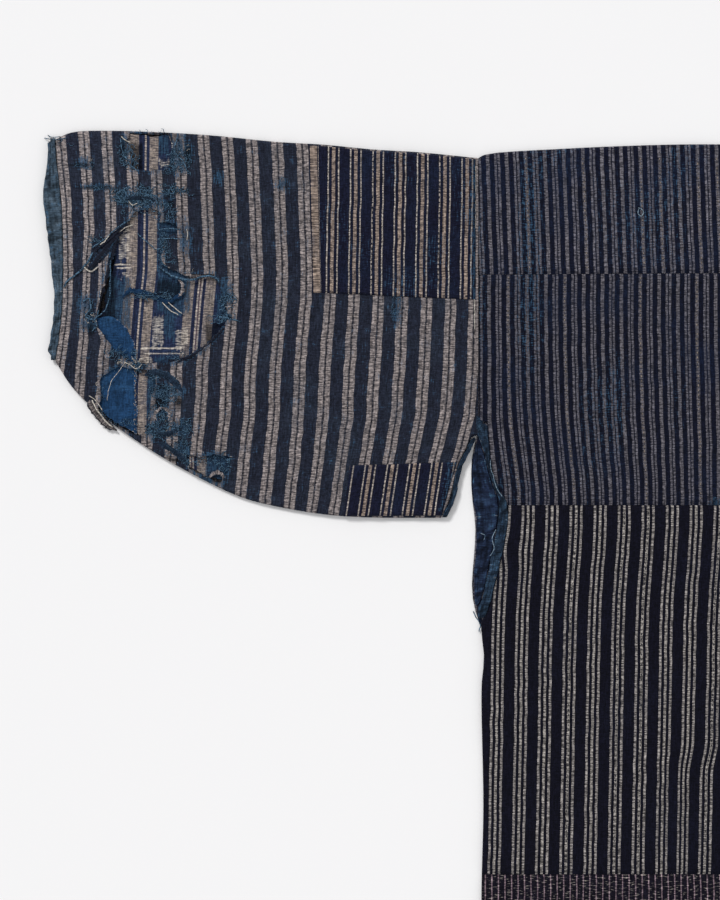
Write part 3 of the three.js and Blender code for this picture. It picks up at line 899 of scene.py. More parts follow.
def makePanel(node, side):
    spec = panels[node]
    sign = 1 if side == "left" else -1
    step = spec["step"] if side == "left" else 6.0
    (leftX, leftY), (rightX, rightY), bottomY = spec["corners"]
    s = spaced(300.0, step) / 300.0
    t = spaced(leftY - bottomY, step) / (leftY - bottomY)
    leftYs = bottomY + t * (leftY - bottomY)
    leftXs = reach(f"{node}_left", 0, leftYs)[0]
    left = np.stack([leftXs, leftYs], 1)
    right = np.stack([np.full(len(t), rightX), bottomY + t * (rightY - bottomY)], 1)
    bottom = left[0] + s[:, None] * (right[0] - left[0])
    top = left[-1] + s[:, None] * (right[-1] - left[-1])
    plan = fourSided(bottom, top, left, right, s, t)
    x, y = plan[..., 0], plan[..., 1]
    upper, lower = panelSurfaces(plan, spec["edges"], backHeight(x, y), coat["cloth"])
    lower[..., 2] = np.maximum(lower[..., 2], 2.15)
    upper[..., 2] = np.maximum(upper[..., 2], 2.35)
    uv = np.stack([backStripes(node, x, y), y], -1)
    fields = backFields(node, x, y)
    upper[..., 0] *= sign
    lower[..., 0] *= sign
    piece = clothShell(f"{node}.{side}", upper, lower, uv, fields=fields, flip=side != "left")
    finishPiece(piece, f"{node}_{side}", spec["material"])
    return piece


def backFields(node, x, y):
    zero = np.zeros(np.shape(x))
    fields = {"blue": zero, "pale": zero.copy(), "dim": zero.copy()}
    if node in ("shoulder", "back_upper"):
        fields["blue"] = np.clip(0.3 * softNoise(x * 1.6, y * 0.5, 40, 31) + 0.03, 0, 0.33)
        wedge = np.hypot((x + 96) / 9, (y + 302) / 7)  # indigo shows where the seam turns down
        fields["blue"] = np.maximum(fields["blue"], np.clip(1.3 - wedge, 0, 0.8))
    if node == "back_upper":
        fields["dim"] = zero + 0.16
    if node == "back_skirt":
        fields["pale"] = zero + 0.33  # here and there a pale fleck of weft
    return fields


def makeShoulder(side):
    # one cloth over the back, round the shoulder fold and down the front; the neck cuts it short
    sign = 1 if side == "left" else -1
    step = 2.5 if side == "left" else 6.0
    neckX = -85.0
    columns = np.concatenate(
        [
            -301.7 + spaced(301.7 + neckX, step, True, False),
            neckX + spaced(-0.15 - neckX, step, False, True)[1:],
        ]
    )
    high = reach("shoulder_left", 1, columns)[1]
    low = -103.0 + (columns + 301.7) / 301.7 * 2
    t = spaced(110.0, step) / 110.0
    y = low[:, None] + t[None] * (high - low)[:, None]
    x = np.repeat(columns[:, None], len(t), 1)
    plan = np.stack([x, y], -1)
    edges = {"left": "seam", "right": "seam", "bottom": "seam"}
    upper, lower = panelSurfaces(plan, edges, backHeight(x, y), coat["cloth"])
    foldEdge = (high[:, None] - y)
    rounding = np.sqrt(1 - (1 - np.clip(foldEdge / 3.2, 0, 1)) ** 2)
    middle = 2.2
    upper[..., 2] = middle + (upper[..., 2] - middle) * rounding
    lower[..., 2] = middle + 0.15 + (lower[..., 2] - middle - 0.15) * np.sqrt(rounding) * 0.98
    lower[..., 1] -= 1.7 * (1 - ease(foldEdge / 12))
    frontT = spaced(110.0, 10.0)[::-1] / 110.0
    frontY = low[:, None] + frontT[None] * (high - low)[:, None]
    frontX = np.repeat(columns[:, None], len(frontT), 1)
    frontRound = np.sqrt(1 - (1 - np.clip((high[:, None] - frontY) / 3.2, 0, 1)) ** 2)
    frontOuter = np.stack([frontX, frontY, middle * (1 - frontRound)], -1)
    pull = 1.7 * (1 - ease((high[:, None] - frontY) / 12))
    frontInner = np.stack([frontX, frontY - pull, middle - (middle - coat["cloth"]) * frontRound], -1)
    outer = np.concatenate([upper, frontOuter[:, 1:]], 1)
    inner = np.concatenate([lower, frontInner[:, 1:]], 1)
    keep = np.ones((outer.shape[0] - 1, outer.shape[1] - 1), bool)
    keep[columns[:-1] > neckX - 0.1, len(t) - 1 :] = False
    flatX, flatY = outer[..., 0].copy(), outer[..., 1]
    uv = np.stack([backStripes("shoulder", flatX, flatY), flatY], -1)
    fields = backFields("shoulder", flatX, flatY)
    outer[..., 0] *= sign
    inner[..., 0] *= sign
    piece = clothShell(f"shoulder.{side}", outer, inner, uv, keep, fields=fields, flip=side != "left")
    return finishPiece(piece, f"shoulder_{side}", "fineStripeCotton")


def makeFront(side):
    sign = 1 if side == "left" else -1
    rows = -103.6 - spaced(1045.5, 12.0)[::-1]
    leftX = reach("front_left", 0, rows)[0]
    rightX = -85.3
    s = spaced(220.0, 8.0) / 220.0
    x = leftX[None] + s[:, None] * (rightX - leftX)[None]
    y = np.repeat(rows[None], len(s), 0)
    plan = np.stack([x, y], -1)
    share = np.ones(x.shape)
    for distance in edgeDistances(plan).values():
        share = np.minimum(share, np.sqrt(1 - (1 - np.clip(distance / 1.5, 0, 0.98)) ** 2))
    upper = np.stack([x, y, 1.0 + share], -1)
    lower = np.stack([x, y, 1.0 - share], -1)
    uv = np.stack([(x + 292) * 1.0, y], -1)
    zero = np.zeros(x.shape)
    upper[..., 0] *= sign
    lower[..., 0] *= sign
    piece = clothShell(
        f"front.{side}", upper, lower, uv, fields={"blue": zero, "pale": zero, "dim": zero}, flip=side != "left"
    )
    return finishPiece(piece, f"front_{side}", "fineStripeCotton")


def makeCollar(side):
    # a straight band down the front's edge, turning round the neck to the centre back
    sign = 1 if side == "left" else -1
    straight = np.linspace(-1150, -60, 90)
    turn = np.radians(np.linspace(180, 90.3, 36))
    outer = np.concatenate(
        [
            np.stack([np.full(90, -85.0), np.linspace(-1150, -20, 90)], 1),
            np.stack([85 * np.cos(turn), -20 + 55 * np.sin(turn)], 1)[1:],
        ]
    )
    inner = np.concatenate(
        [
            np.stack([np.full(90, -30.0), straight], 1),
            np.stack([30 * np.cos(turn), -60 + 40 * np.sin(turn)], 1)[1:],
        ]
    )
    s = spaced(55.0, 3.5) / 55.0
    plan = outer[None] + s[:, None, None] * (inner - outer)[None]
    share = np.ones(plan.shape[:2])
    for distance in edgeDistances(plan).values():
        share = np.minimum(share, np.sqrt(1 - (1 - np.clip(distance / 1.5, 0, 0.98)) ** 2))
    upper = np.concatenate([plan, (1.05 + 1.0 * share)[..., None]], -1)
    lower = np.concatenate([plan, (1.05 - 1.0 * share)[..., None]], -1)
    uv = np.stack([np.repeat((s * 55)[:, None], plan.shape[1], 1), plan[..., 1]], -1)
    zero = np.zeros(plan.shape[:2])
    upper[..., 0] *= sign
    lower[..., 0] *= sign
    piece = clothShell(
        f"collar.{side}", upper, lower, uv, fields={"blue": zero, "pale": zero, "dim": zero}, flip=side != "left"
    )
    return finishPiece(piece, f"collar_{side}", "indigoBinding")


# bindings: narrow rolled strips, puckered by their stitches
def rollStrip(left, right, levels, thick, seed, pucker=0.5, closed=False):
    # a padded roll between two lines of x, y points; levels is the height of its middle at each point
    sides = 20
    turn = np.linspace(0, 2 * math.pi, sides, endpoint=False)
    middle, half = (left + right) / 2, (right - left) / 2
    along = np.concatenate([[0], np.cumsum(np.linalg.norm(np.diff(middle, axis=0), axis=1))])
    across = np.cos(turn)[:, None]
    flat = np.sign(np.sin(turn)) * np.abs(np.sin(turn)) ** 0.7
    # gathers over the binding at every stitch, and two creases along it that wander
    gathers = 0.7 * softNoise(along[None] + across * 1.5, across * 2, 2.3, seed)
    gathers = gathers + 0.4 * softNoise(along[None] + across * 2, 0, 5.5, seed + 1)
    wander = 0.12 * softNoise(along, 0, 13, seed + 3)[None]
    lines = np.exp(-(((across - 0.2 - wander) / 0.1) ** 2)) + 0.8 * np.exp(-(((across + 0.3 - wander) / 0.1) ** 2))
    crease = gathers - 0.9 * lines
    x = middle[None, :, 0] + across * half[None, :, 0]
    y = middle[None, :, 1] + across * half[None, :, 1]
    z = levels[None] + flat[:, None] * (thick / 2 + pucker * crease * np.clip(np.sin(turn), 0, 1)[:, None])
    taper = np.ones(len(along)) if closed else np.clip(np.minimum(along, along[-1] - along) / 1.5, 0.08, 1)
    x = middle[None, :, 0] + (x - middle[None, :, 0]) * taper
    z = levels[None] + (z - levels[None]) * taper
    wobble = 0.6 * softNoise(along, 0, 4.5, seed + 2)[None] * np.abs(across)
    return np.stack([x + wobble, y, z], -1), along, crease


def closedTube(name, grid, along, fields, flip, ring=False):
    # faces of a roll: rows go round the section, columns along it
    rows, columns = grid.shape[:2]
    number = np.arange(rows * columns).reshape(rows, columns)
    number = np.concatenate([number, number[:1]], 0)
    if ring:
        number = np.concatenate([number, number[:, :1]], 1)
    faces = np.stack([number[:-1, :-1], number[:-1, 1:], number[1:, 1:], number[1:, :-1]], -1).reshape(-1, 4)
    points = grid.reshape(-1, 3)
    if not ring:
        ends = []
        for column, back in ((0, False), (columns - 1, True)):
            hub = len(points)
            points = np.concatenate([points, grid[:, column].mean(0)[None]])
            loop = number[:, column]
            cap = np.stack([np.full(rows, hub), loop[1:], loop[:-1], np.full(rows, hub)], -1)
            ends.append(cap[:, :3][:, ::-1] if back else cap[:, :3])
        fields = {label: np.concatenate([values.ravel(), [0, 0]]) for label, values in fields.items()}
    else:
        ends = []
        fields = {label: values.ravel() for label, values in fields.items()}
    turned = np.repeat(np.linspace(0, 22, rows)[:, None], columns, 1)
    uv = np.stack([turned, np.repeat(along[None], rows, 0)], -1).reshape(-1, 2)
    uv = np.concatenate([uv, np.zeros((len(points) - len(uv), 2))])
    quads = [list(face) for face in faces] + [list(face) for cap in ends for face in cap]
    if flip:
        quads = [face[::-1] for face in quads]
    mesh = bpy.data.meshes.new(name)
    mesh.from_pydata(toMetres(points).tolist(), [], [[int(v) for v in face] for face in quads])
    layer = mesh.uv_layers.new(name="cloth")
    corners = np.zeros(len(mesh.loops), int)
    mesh.loops.foreach_get("vertex_index", corners)
    layer.data.foreach_set("uv", uv[corners].ravel())
    for label, values in fields.items():
        mesh.attributes.new(label, "FLOAT", "POINT").data.foreach_set("value", values)
    mesh.polygons.foreach_set("use_smooth", np.ones(len(mesh.polygons), bool))
    piece = bpy.data.objects.new(name, mesh)
    bpy.context.scene.collection.objects.link(piece)
    return piece


def bindingFields(crease):
    # blue and pale on the ridges of the gathers, partly rubbed wear and partly painted highlight; painted shade in the
    # creases
    return {
        "blue": np.clip(0.7 * crease, 0, 0.5),
        "pale": np.clip(0.9 * crease - 0.25, 0, 0.42),
        "dim": np.clip(-1.3 * crease, 0, 0.8),
    }


def makeCuffBand(side):
    sign = 1 if side == "left" else -1
    count = 150
    backY = np.linspace(11.0, -173.0, count)
    edgeX, seamX = reach("cuff_band_left", 0, backY)
    bend = np.radians(np.linspace(90, 270, 9))[1:-1]
    # down the back's edge, round the bottom, up the front's edge, round the top
    loopY = np.concatenate([backY, np.full(len(bend), -173.0), backY[::-1], np.full(len(bend), 11.0)])
    backZ = 6.0 - 0.6 * np.abs(np.linspace(-1, 1, count)) ** 3
    levels = np.concatenate([backZ, 3.7 + 1.8 * np.cos(bend - math.pi / 2), np.full(count, 1.7), 3.7 - 1.8 * np.cos(bend - math.pi / 2)])
    reachOut = np.concatenate([np.zeros(count), -3.5 * np.sin(bend - math.pi / 2), np.zeros(count), 3.0 * np.sin(bend - math.pi / 2)])
    left = np.stack([np.concatenate([edgeX, edgeX[-1:].repeat(len(bend)), edgeX[::-1], edgeX[:1].repeat(len(bend))]), loopY + reachOut], 1)
    right = np.stack([np.concatenate([seamX, seamX[-1:].repeat(len(bend)), seamX[::-1], seamX[:1].repeat(len(bend))]), loopY + reachOut], 1)
    right[:, 0] = np.maximum(right[:, 0], left[:, 0] + 4)
    grid, along, crease = rollStrip(left, right, levels, 2.6, 60, 0.8, closed=True)
    grid[..., 2] = np.maximum(grid[..., 2], 0.02)
    fields = bindingFields(crease)
    grid[..., 0] *= sign
    piece = closedTube(f"cuffBand.{side}", grid, along, fields, side != "left", ring=True)
    return finishPiece(piece, f"cuff_band_{side}", "fadedBinding")


def makeFuriBand(side):
    sign = 1 if side == "left" else -1
    rows = np.linspace(-243.0, -311.5, 46)
    left, right = reach("furi_band_left", 0, rows)
    loopLeft = np.stack([np.concatenate([left, left[::-1]]), np.concatenate([rows, rows[::-1]])], 1)
    loopRight = np.stack([np.concatenate([right, right[::-1]]), np.concatenate([rows, rows[::-1]])], 1)
    levels = np.concatenate([np.full(46, 5.3), np.full(46, 1.6)])
    levels[44:48] = [4.6, 3.9, 3.0, 2.3]
    grid, along, crease = rollStrip(loopLeft, loopRight, levels, 2.3, 70, 0.4)
    grid[..., 2] = np.maximum(grid[..., 2], 0.02)
    fields = bindingFields(crease)
    grid[..., 0] *= sign
    piece = closedTube(f"furiBand.{side}", grid, along, fields, side != "left")
    return finishPiece(piece, f"furi_band_{side}", "indigoBinding")


def makeOpeningBinding(side):
    sign = 1 if side == "left" else -1
    rows = np.linspace(-231.0, -398.5, 110)
    left, right = reach("opening_binding_left", 0, rows)
    right = np.maximum(right, left + 2.5)
    grid, along, crease = rollStrip(
        np.stack([left, rows], 1), np.stack([right, rows], 1), 4.3 - 0.5 * np.linspace(0, 1, 110), 2.6, 80, 0.6
    )
    grid[..., 2] = np.maximum(grid[..., 2], 2.3)
    fields = bindingFields(crease)
    grid[..., 0] *= sign
    piece = closedTube(f"openingBinding.{side}", grid, along, fields, side != "left")
    return finishPiece(piece, f"opening_binding_{side}", "indigoBinding")


def makeOpeningFacing(side):
    sign = 1 if side == "left" else -1
    rows = np.linspace(-247.0, -387.5, 80)
    left, right = reach("opening_facing_left", 0, rows)
    right = np.maximum(right, left + 1.2)
    grid, along, crease = rollStrip(
        np.stack([left, rows], 1), np.stack([right, rows], 1), np.full(80, 2.75), 0.9, 90, 0.25
    )
    grid[..., 2] = np.maximum(grid[..., 2], 2.12)
    fields = bindingFields(crease)
    grid[..., 0] *= sign
    piece = closedTube(f"openingFacing.{side}", grid, along, fields, side != "left")
    return finishPiece(piece, f"opening_facing_{side}", "facingCotton")


for side in ("left", "right"):
    makeSleeve(side)
    makeShoulder(side)
    for node in panels:
        makePanel(node, side)
    makeFront(side)
    makeCollar(side)
    makeCuffBand(side)
    makeFuriBand(side)
    makeOpeningBinding(side)
    makeOpeningFacing(side)
print("panels and bindings sewn")


# patches and mends
def makePatch(name, node, lowCorners, highCorners, step, material, stripes):
    # a patch on the sleeve's back: its turned-in edge makes a low ridge
    (x0, y0), (x1, y1) = lowCorners
    (x3, y3), (x2, y2) = highCorners
    width, height = x1 - x0, y3 - y0
    s = spaced(width, step) / width
    t = spaced(height, step) / height
    bottomX = x0 + s * (x1 - x0)
    topX = x3 + s * (x2 - x3)
    straight = x0 + 8.0 if name == "upperPatch" else x0  # left of here the patch's side runs up
    bottom = np.stack([bottomX, reach(node, 1, np.maximum(bottomX, straight))[0]], 1)
    top = np.stack([topX, reach(node, 1, topX)[1]], 1)
    bottom[0], bottom[-1], top[0], top[-1] = (x0, y0), (x1, y1), (x3, y3), (x2, y2)
    left = bottom[0] + t[:, None] * (top[0] - bottom[0])
    right = bottom[-1] + t[:, None] * (top[-1] - bottom[-1])
    plan = fourSided(bottom, top, left, right, s, t)
    x, y = plan[..., 0], plan[..., 1]
    edge = np.minimum.reduce(list(edgeDistances(plan).values()))
    base = sleeveHeight(x, y)
    # the sleeve rounds down at its top fold, at its bottom seam and at the armhole, and the patch follows
    low, high = reach("sleeve_left", 1, x[:, 0])
    over = np.minimum(high[:, None] - y, y - low[:, None])
    rounding = np.sqrt(1 - (1 - np.clip((over + 0.5) / sleeve["foldRound"], 0.05, 1)) ** 2)
    base = 3.0 + (base - 3.0) * rounding - 1.6 * (1 - ease((coat["armhole"] - x) / 5))
    puff = 0.35 * np.exp(-(((edge - 3) / 2.2) ** 2)) + 0.3 * softNoise(x, y, 16, 51) - 0.35 * (1 - ease(edge / 2))
    lift = coat["patch"] * np.sqrt(1 - (1 - np.clip(edge / 1.2, 0, 0.97)) ** 2)
    upper = np.stack([x, y, base + 0.25 + lift + puff], -1)
    lower = np.stack([x, y, base + 0.1 + 0 * puff], -1)
    lower[..., 2] = np.minimum(lower[..., 2], upper[..., 2] - 0.15)
    uv = np.stack([stripes(x, y), y], -1)
    zero = np.zeros(x.shape)
    fields = {"blue": zero, "pale": zero, "dim": zero}
    if name == "upperPatch":
        armhole = np.clip(1.3 - np.abs(x + 304.5) / 4, 0, 1) * 0.6
        fields["blue"] = np.maximum(armhole, 0.22 * np.clip(softNoise(x, y, 30, 52), 0, 1))
        # the cloth's own beige selvedge runs down the left edge, in place of the stripes
        fromLeft = x - plan[0, :, 0][None]
        uv[..., 0] = np.where(fromLeft < 7.2, 9.7 + (fromLeft - 4.1) * 0.44, uv[..., 0] + 19.35)
    if name == "lowerPatch":
        fields["blue"] = np.clip(1.3 - np.abs(x - (-324 - 0.17 * (-267 - y))) / 5, 0, 1) * 0.45
    piece = clothShell(name, upper, lower, uv, fields=fields)
    return finishPiece(piece, node, material)


def upperPatchStripes(x, y):
    lean = 1.6 * (1 - ease(-y / 110)) + 0.35 * softNoise(x * 0.25, y, 11, 19)
    return (x + 427.4 - lean) / 19.1 * 19.35 + 9.7


def lowerPatchStripes(x, y):
    lean = -6.0 * (-270 - y) / 40
    return (x + 394.7 - lean) / 18.9 * 19.35 + 9.7


makePatch(
    "upperPatch", "sleeve_patch_upper", ((-444, -119), (-304, -125)), ((-447.2, 7.5), (-304, -4)), 1.9,
    "dottedStripeCotton", upperPatchStripes,
)
makePatch(
    "lowerPatch", "sleeve_patch_lower", ((-417, -310.5), (-333, -310)), ((-412, -267), (-320.5, -264)), 1.7,
    "dottedStripeCotton", lowerPatchStripes,
)
print("patches sewn on")

# the mends inside the sleeve, seen through the holes
mendOutlines = {
    "kasuriMend": [(-606, 16.5), (-554, 16), (-546, -30), (-505, -100), (-503, -150), (-518, -196), (-505, -262)]
    + [(-518, -280), (-536, -276), (-575, -254), (-600, -236), (-600, -180), (-606, -150), (-626, -141), (-622, -126)]
    + [(-618, -108), (-613, -84), (-611, -60)],
    "indigoMend": [(-631, -147), (-628, -141), (-619, -139), (-610, -141), (-604, -149), (-598, -160), (-595.4, -172)]
    + [(-595.2, -240), (-618, -227), (-634, -210)],
}
# what the resist-dyeing shows on the kasuri, and painted shade (the dark marks) below the torn strip and in slits and
# gaps: the kind of mark, its reach across and along
kasuriMarks = [
    ("pale", -611, -600, -92, -60), ("cream", -614, -600, -95.5, -93.2), ("cream", -612, -600, -98.6, -96.6),
    ("pale", -610, -601, -112, -99), ("blue", -622, -600, -150, -104), ("blue", -577, -549, -138, -56),
    ("pale", -582, -571, -168, -137), ("blue", -572, -562, -160, -130), ("pale", -562, -551, -168, -147),
    ("cream", -592, -556, -167.6, -165.6), ("cream", -589, -554, -171.4, -169.8), ("blue", -580, -563, -184, -173),
    ("pale", -595, -580, -184, -172), ("blue", -576, -567, 20, -3), ("pale", -577, -564, -3, -15),
    ("blue", -536, -508, -286, -256), ("blue", -526, -508, -146, -118), ("blue", -586, -568, -250, -186),
    ("dark", -578, -556, -124, -107), ("dark", -536, -521, -164, -143), ("dark", -601, -590, -14, 12),
    ("dark", -600, -577, -188, -181), ("dark", -628, -613, -150, -84),
]


def kasuriLean(x, y):
    return np.interp(y, [-262, -200, -160, -125, -100, 20], [-10.3, -9.5, -6.8, -3.9, -1.2, 0.6])


def kasuriFields(x, y):
    # marks run out along the threads, each thread by its own amount, as bound threads take up dye; the painted shade of
    # the dark marks runs out the same way
    run = 4.5 * softNoise(x, 0, 1.1, 71) + 2.5 * softNoise(x, 0, 4, 72)
    blue, pale, dark = np.zeros(x.shape), np.zeros(x.shape), np.zeros(x.shape)
    for kind, x0, x1, y0, y1 in kasuriMarks:
        low, high = min(y0, y1), max(y0, y1)
        ends = 0.0 if kind == "cream" else run
        soft = 0.7 if kind == "cream" else 3.0
        along = ease((y - low + ends) / soft) * ease((high - y - ends * 0.7) / soft)
        across = ease((x - x0) / 0.9 + 0.5) * ease((x1 - x) / 0.9 + 0.5)
        # painted shade
        if kind == "dark":
            dark = np.maximum(dark, along * across * 0.8)
        elif kind == "blue":
            blue = np.maximum(blue, along * across * 0.8)
            pale = pale * (1 - along * across)
        else:
            pale = np.maximum(pale, along * across * (1.1 if kind == "cream" else 0.62))
            blue = blue * (1 - along * across)
    return {"blue": blue, "pale": pale, "dim": dark}


def makeMend(name, node, below, step, material, stripes):
    # a mend is a flat scrap with a ragged outline, a little under the sleeve's own cloth
    outline = raggedOutline(mendOutlines[name], 90)
    lowX, lowY = outline.min(0)
    highX, highY = outline.max(0)
    columns = np.arange(lowX, highX + step, step)
    rows = np.arange(lowY, highY + step, step)
    x, y = np.meshgrid(columns, rows, indexing="ij")
    keep = inside(outline, x[:-1, :-1] + step / 2, y[:-1, :-1] + step / 2)
    full = np.pad(keep, 1)
    corners = np.stack([full[:-1, :-1], full[1:, :-1], full[:-1, 1:], full[1:, 1:]])
    rim = corners.any(0) & ~corners.all(0)
    place, off = nearest(outline, x, y)
    x, y = np.where(rim, place[..., 0], x), np.where(rim, place[..., 1], y)
    fold = ease((np.interp(x, sleeveColumns, sleeveTopLine) - y) / 12)
    upper = sleeveSurface(x, y) - (coat["cloth"] + below) * (0.35 + 0.65 * fold)
    upper = upper + 0.35 * softNoise(x, y, 13, 92) + 0.2 * softNoise(x, y, 5, 93)
    if name == "indigoMend":
        upper = upper + 0.8 * np.exp(-(((off - 1.5) / 2.0) ** 2)) * (y > -165)
    upper = np.maximum(upper, 2.75)
    thin = 0.5 * np.clip(0.3 + off / 1.5, 0.3, 1)
    topGrid = np.stack([x, y, upper], -1)
    lowGrid = np.stack([x, y, upper - thin], -1)
    uv = np.stack([stripes(x, y), y], -1)
    zero = np.zeros(x.shape)
    fields = {"blue": zero, "pale": zero.copy(), "dim": zero.copy()}
    if name == "kasuriMend":
        fields = kasuriFields(x, y)
    else:
        # painted highlight along the mend's raised edge
        fields["pale"] = np.exp(-off / 0.9) * 0.8 * (x > -612)
        fields["dim"] = np.clip(0.1 + 0.35 * softNoise(x, y * 1.6, 7, 94) + 0.25 * softNoise(x, y, 2.6, 95), 0, 0.6)
    piece = clothShell(name, topGrid, lowGrid, uv, keep, fields=fields)
    return finishPiece(piece, node, material)


makeMend(
    "kasuriMend", "mend_kasuri", 0.8, 1.5, "kasuriCotton",
    lambda x, y: x - kasuri["left"] - kasuriLean(x, y),
)
makeMend(
    "indigoMend", "mend_indigo", 0.1, 1.35, "indigoCotton", lambda x, y: x
)
print("mends laid in")


# torn strips of the sleeve's cloth
def makeRibbon(name, route, width, curl, across, cloth, dark, pale, wall=0.8):
    # route is x, y and height over the sleeve; curl is the turn of its section in radians
    route = np.array(route, float)
    route[:, 2] += sleeveSurface(route[:, 0], route[:, 1])
    line = smoothLine(route, 1.0)
    way = np.gradient(line, axis=0)
    way[:, 2] = 0
    way /= np.maximum(np.linalg.norm(way, axis=1), 1e-6)[:, None]
    beside = np.stack([-way[:, 1], way[:, 0], 0 * way[:, 0]], 1)
    along = np.arange(len(line)) * 1.0
    taper = np.clip(np.minimum(along, along[-1] - along) / (0.3 * along[-1]) + 0.35, 0, 1)
    taper = taper * (1 + 0.2 * softNoise(along, 0, 5, 101))
    turn = np.linspace(-curl / 2, curl / 2, 11)
    radius = width / curl
    # its two edges are ragged
    torn = softNoise(along[:, None], np.sign(turn)[None] * 9, 1.4, 103) * np.abs(turn / turn[-1])[None] ** 3
    grids = []
    for size in (radius, radius - wall):
        offset = size * np.sin(turn)[None] * taper[:, None] + torn * np.sign(turn)[None]
        lift = (size * np.cos(turn) - radius)[None] * taper[:, None]
        lift = lift + 0.35 * softNoise(along[:, None], turn[None] * 4, 3.5, 102)
        grid = line[:, None] + beside[:, None] * offset[..., None]
        grid[..., 2] += lift
        grids.append(grid)
    uv = np.stack([np.repeat(across + (turn * radius)[None], len(line), 0), np.repeat(along[:, None], 11, 1)], -1)
    zero = np.zeros(uv.shape[:2])
    rim = np.exp(-((np.abs(turn) - curl / 2) / 0.25) ** 2)[None] + zero
    # painted shade over the ribbon, less at its rims, where blue and pale threads show
    fields = {"blue": 0.5 * rim, "pale": pale * rim, "dim": zero + dark * (1 - 0.7 * rim)}
    piece = clothShell(name, grids[0], grids[1], uv, fields=fields, flip=True)
    return finishPiece(piece, "sleeve_left", cloth)


ribbons = {
    # route, width, curl, mm across the stripes at its middle, cloth, how much painted shade lies on it, how pale its
    # edges are
    "tornFlap": (
        [(-608, -63, 0.3), (-616, -74, 1.0), (-625, -86, 1.2), (-636, -99, 0.6)],
        8.0, 1.1, 0.0, "pairedStripeCotton", 0.35, 0.25,
    ),
    "slitLip": (
        [(-603, -61, 0.2), (-611, -72, 0.6), (-617, -92, 0.5), (-623, -114, 0.5), (-629, -138, 0.1)],
        3.4, 1.8, 18.0, "pairedStripeCotton", 0.45, 0.3,
    ),
    "tornStrip": (
        [(-607, -123, -0.9), (-600, -117, 0.3), (-594, -118, 0.3), (-580, -122, -0.2), (-568, -126, -0.2)]
        + [(-557, -120, 0.4), (-554, -110, 0.3)],
        5.2, 2.0, 3.0, "indigoCotton", 0.5, 0.35,
    ),
    "creamCurl": (
        [(-559, -108, 0.4), (-555.5, -112, 1.0), (-556, -119, 0.9), (-560, -123, 0.0)],
        2.8, 1.9, 7.5, "pairedStripeCotton", 0.0, 0.6,
    ),
    "curledFlap": (
        [(-635, -206, -0.6), (-634, -215, 0.8), (-628, -224, 1.2), (-620, -232, 1.0), (-612, -237, -0.2)],
        6.8, 1.7, 7.5, "pairedStripeCotton", 0.45, 0.7,
    ),
    "blueFlap": (
        [(-588, -190, -0.4), (-579, -187, 0.8), (-569, -190, 1.2), (-561, -197, 1.0), (-554, -206, 0.0)],
        7.0, 1.5, 0.0, "indigoBinding", 0.3, 0.4,
    ),
    "taupeLoop": (
        [(-577, -231, -0.3), (-579, -223, 0.9), (-573, -217.5, 1.1), (-567, -222, 0.9), (-568, -229, 0.0)],
        2.6, 1.8, 7.5, "pairedStripeCotton", 0.0, 0.5,
    ),
    "blueCurl": (
        [(-588, -233, -0.3), (-579, -238, 0.9), (-568, -240, 1.1), (-559, -236, 0.6), (-552, -238, 0.0)],
        5.5, 1.6, 0.0, "indigoBinding", 0.4, 0.5,
    ),
    "lowerFlap": (
        [(-579, -246, -0.3), (-570, -250, 0.8), (-560, -257, 1.0), (-551, -266, 0.3)],
        6.0, 1.5, 0.0, "indigoBinding", 0.4, 0.45,
    ),
    "seamRoll": (
        [(-572, -43, -0.2), (-584, -39, 0.8), (-597, -37.5, 1.0), (-608, -40, 0.4)],
        5.0, 1.6, 0.0, "indigoBinding", 0.5, 0.4,
    ),
    "lowerLip": (
        [(-571, -180, 0.1), (-555, -176.5, 0.5), (-540, -168, 0.6), (-528, -157, 0.5), (-517, -146, 0.1)],
        3.4, 1.9, 1.0, "pairedStripeCotton", 0.25, 0.3,
    ),
    "cornerCurl": (
        [(-534, -279, -0.5), (-527, -273, 0.9), (-521, -275, 1.0), (-520, -283, 0.0)],
        3.2, 1.7, 7.5, "pairedStripeCotton", 0.1, 0.5,
    ),
    "openingTop": (
        [(-306, -222, -0.6), (-303, -230, 0.2), (-299, -238, 0.2), (-296.5, -248, -0.3)],
        8.5, 1.2, 20.0, "indigoBinding", 0.2, 0.3,
    ),
    "upperLip": (
        [(-562, -99, 0.0), (-552, -103, 0.4), (-540, -105, 0.5), (-527, -105, 0.1)],
        2.8, 1.8, 7.5, "pairedStripeCotton", 0.1, 0.4,
    ),
}
for name, recipe in ribbons.items():
    makeRibbon(name, *recipe)
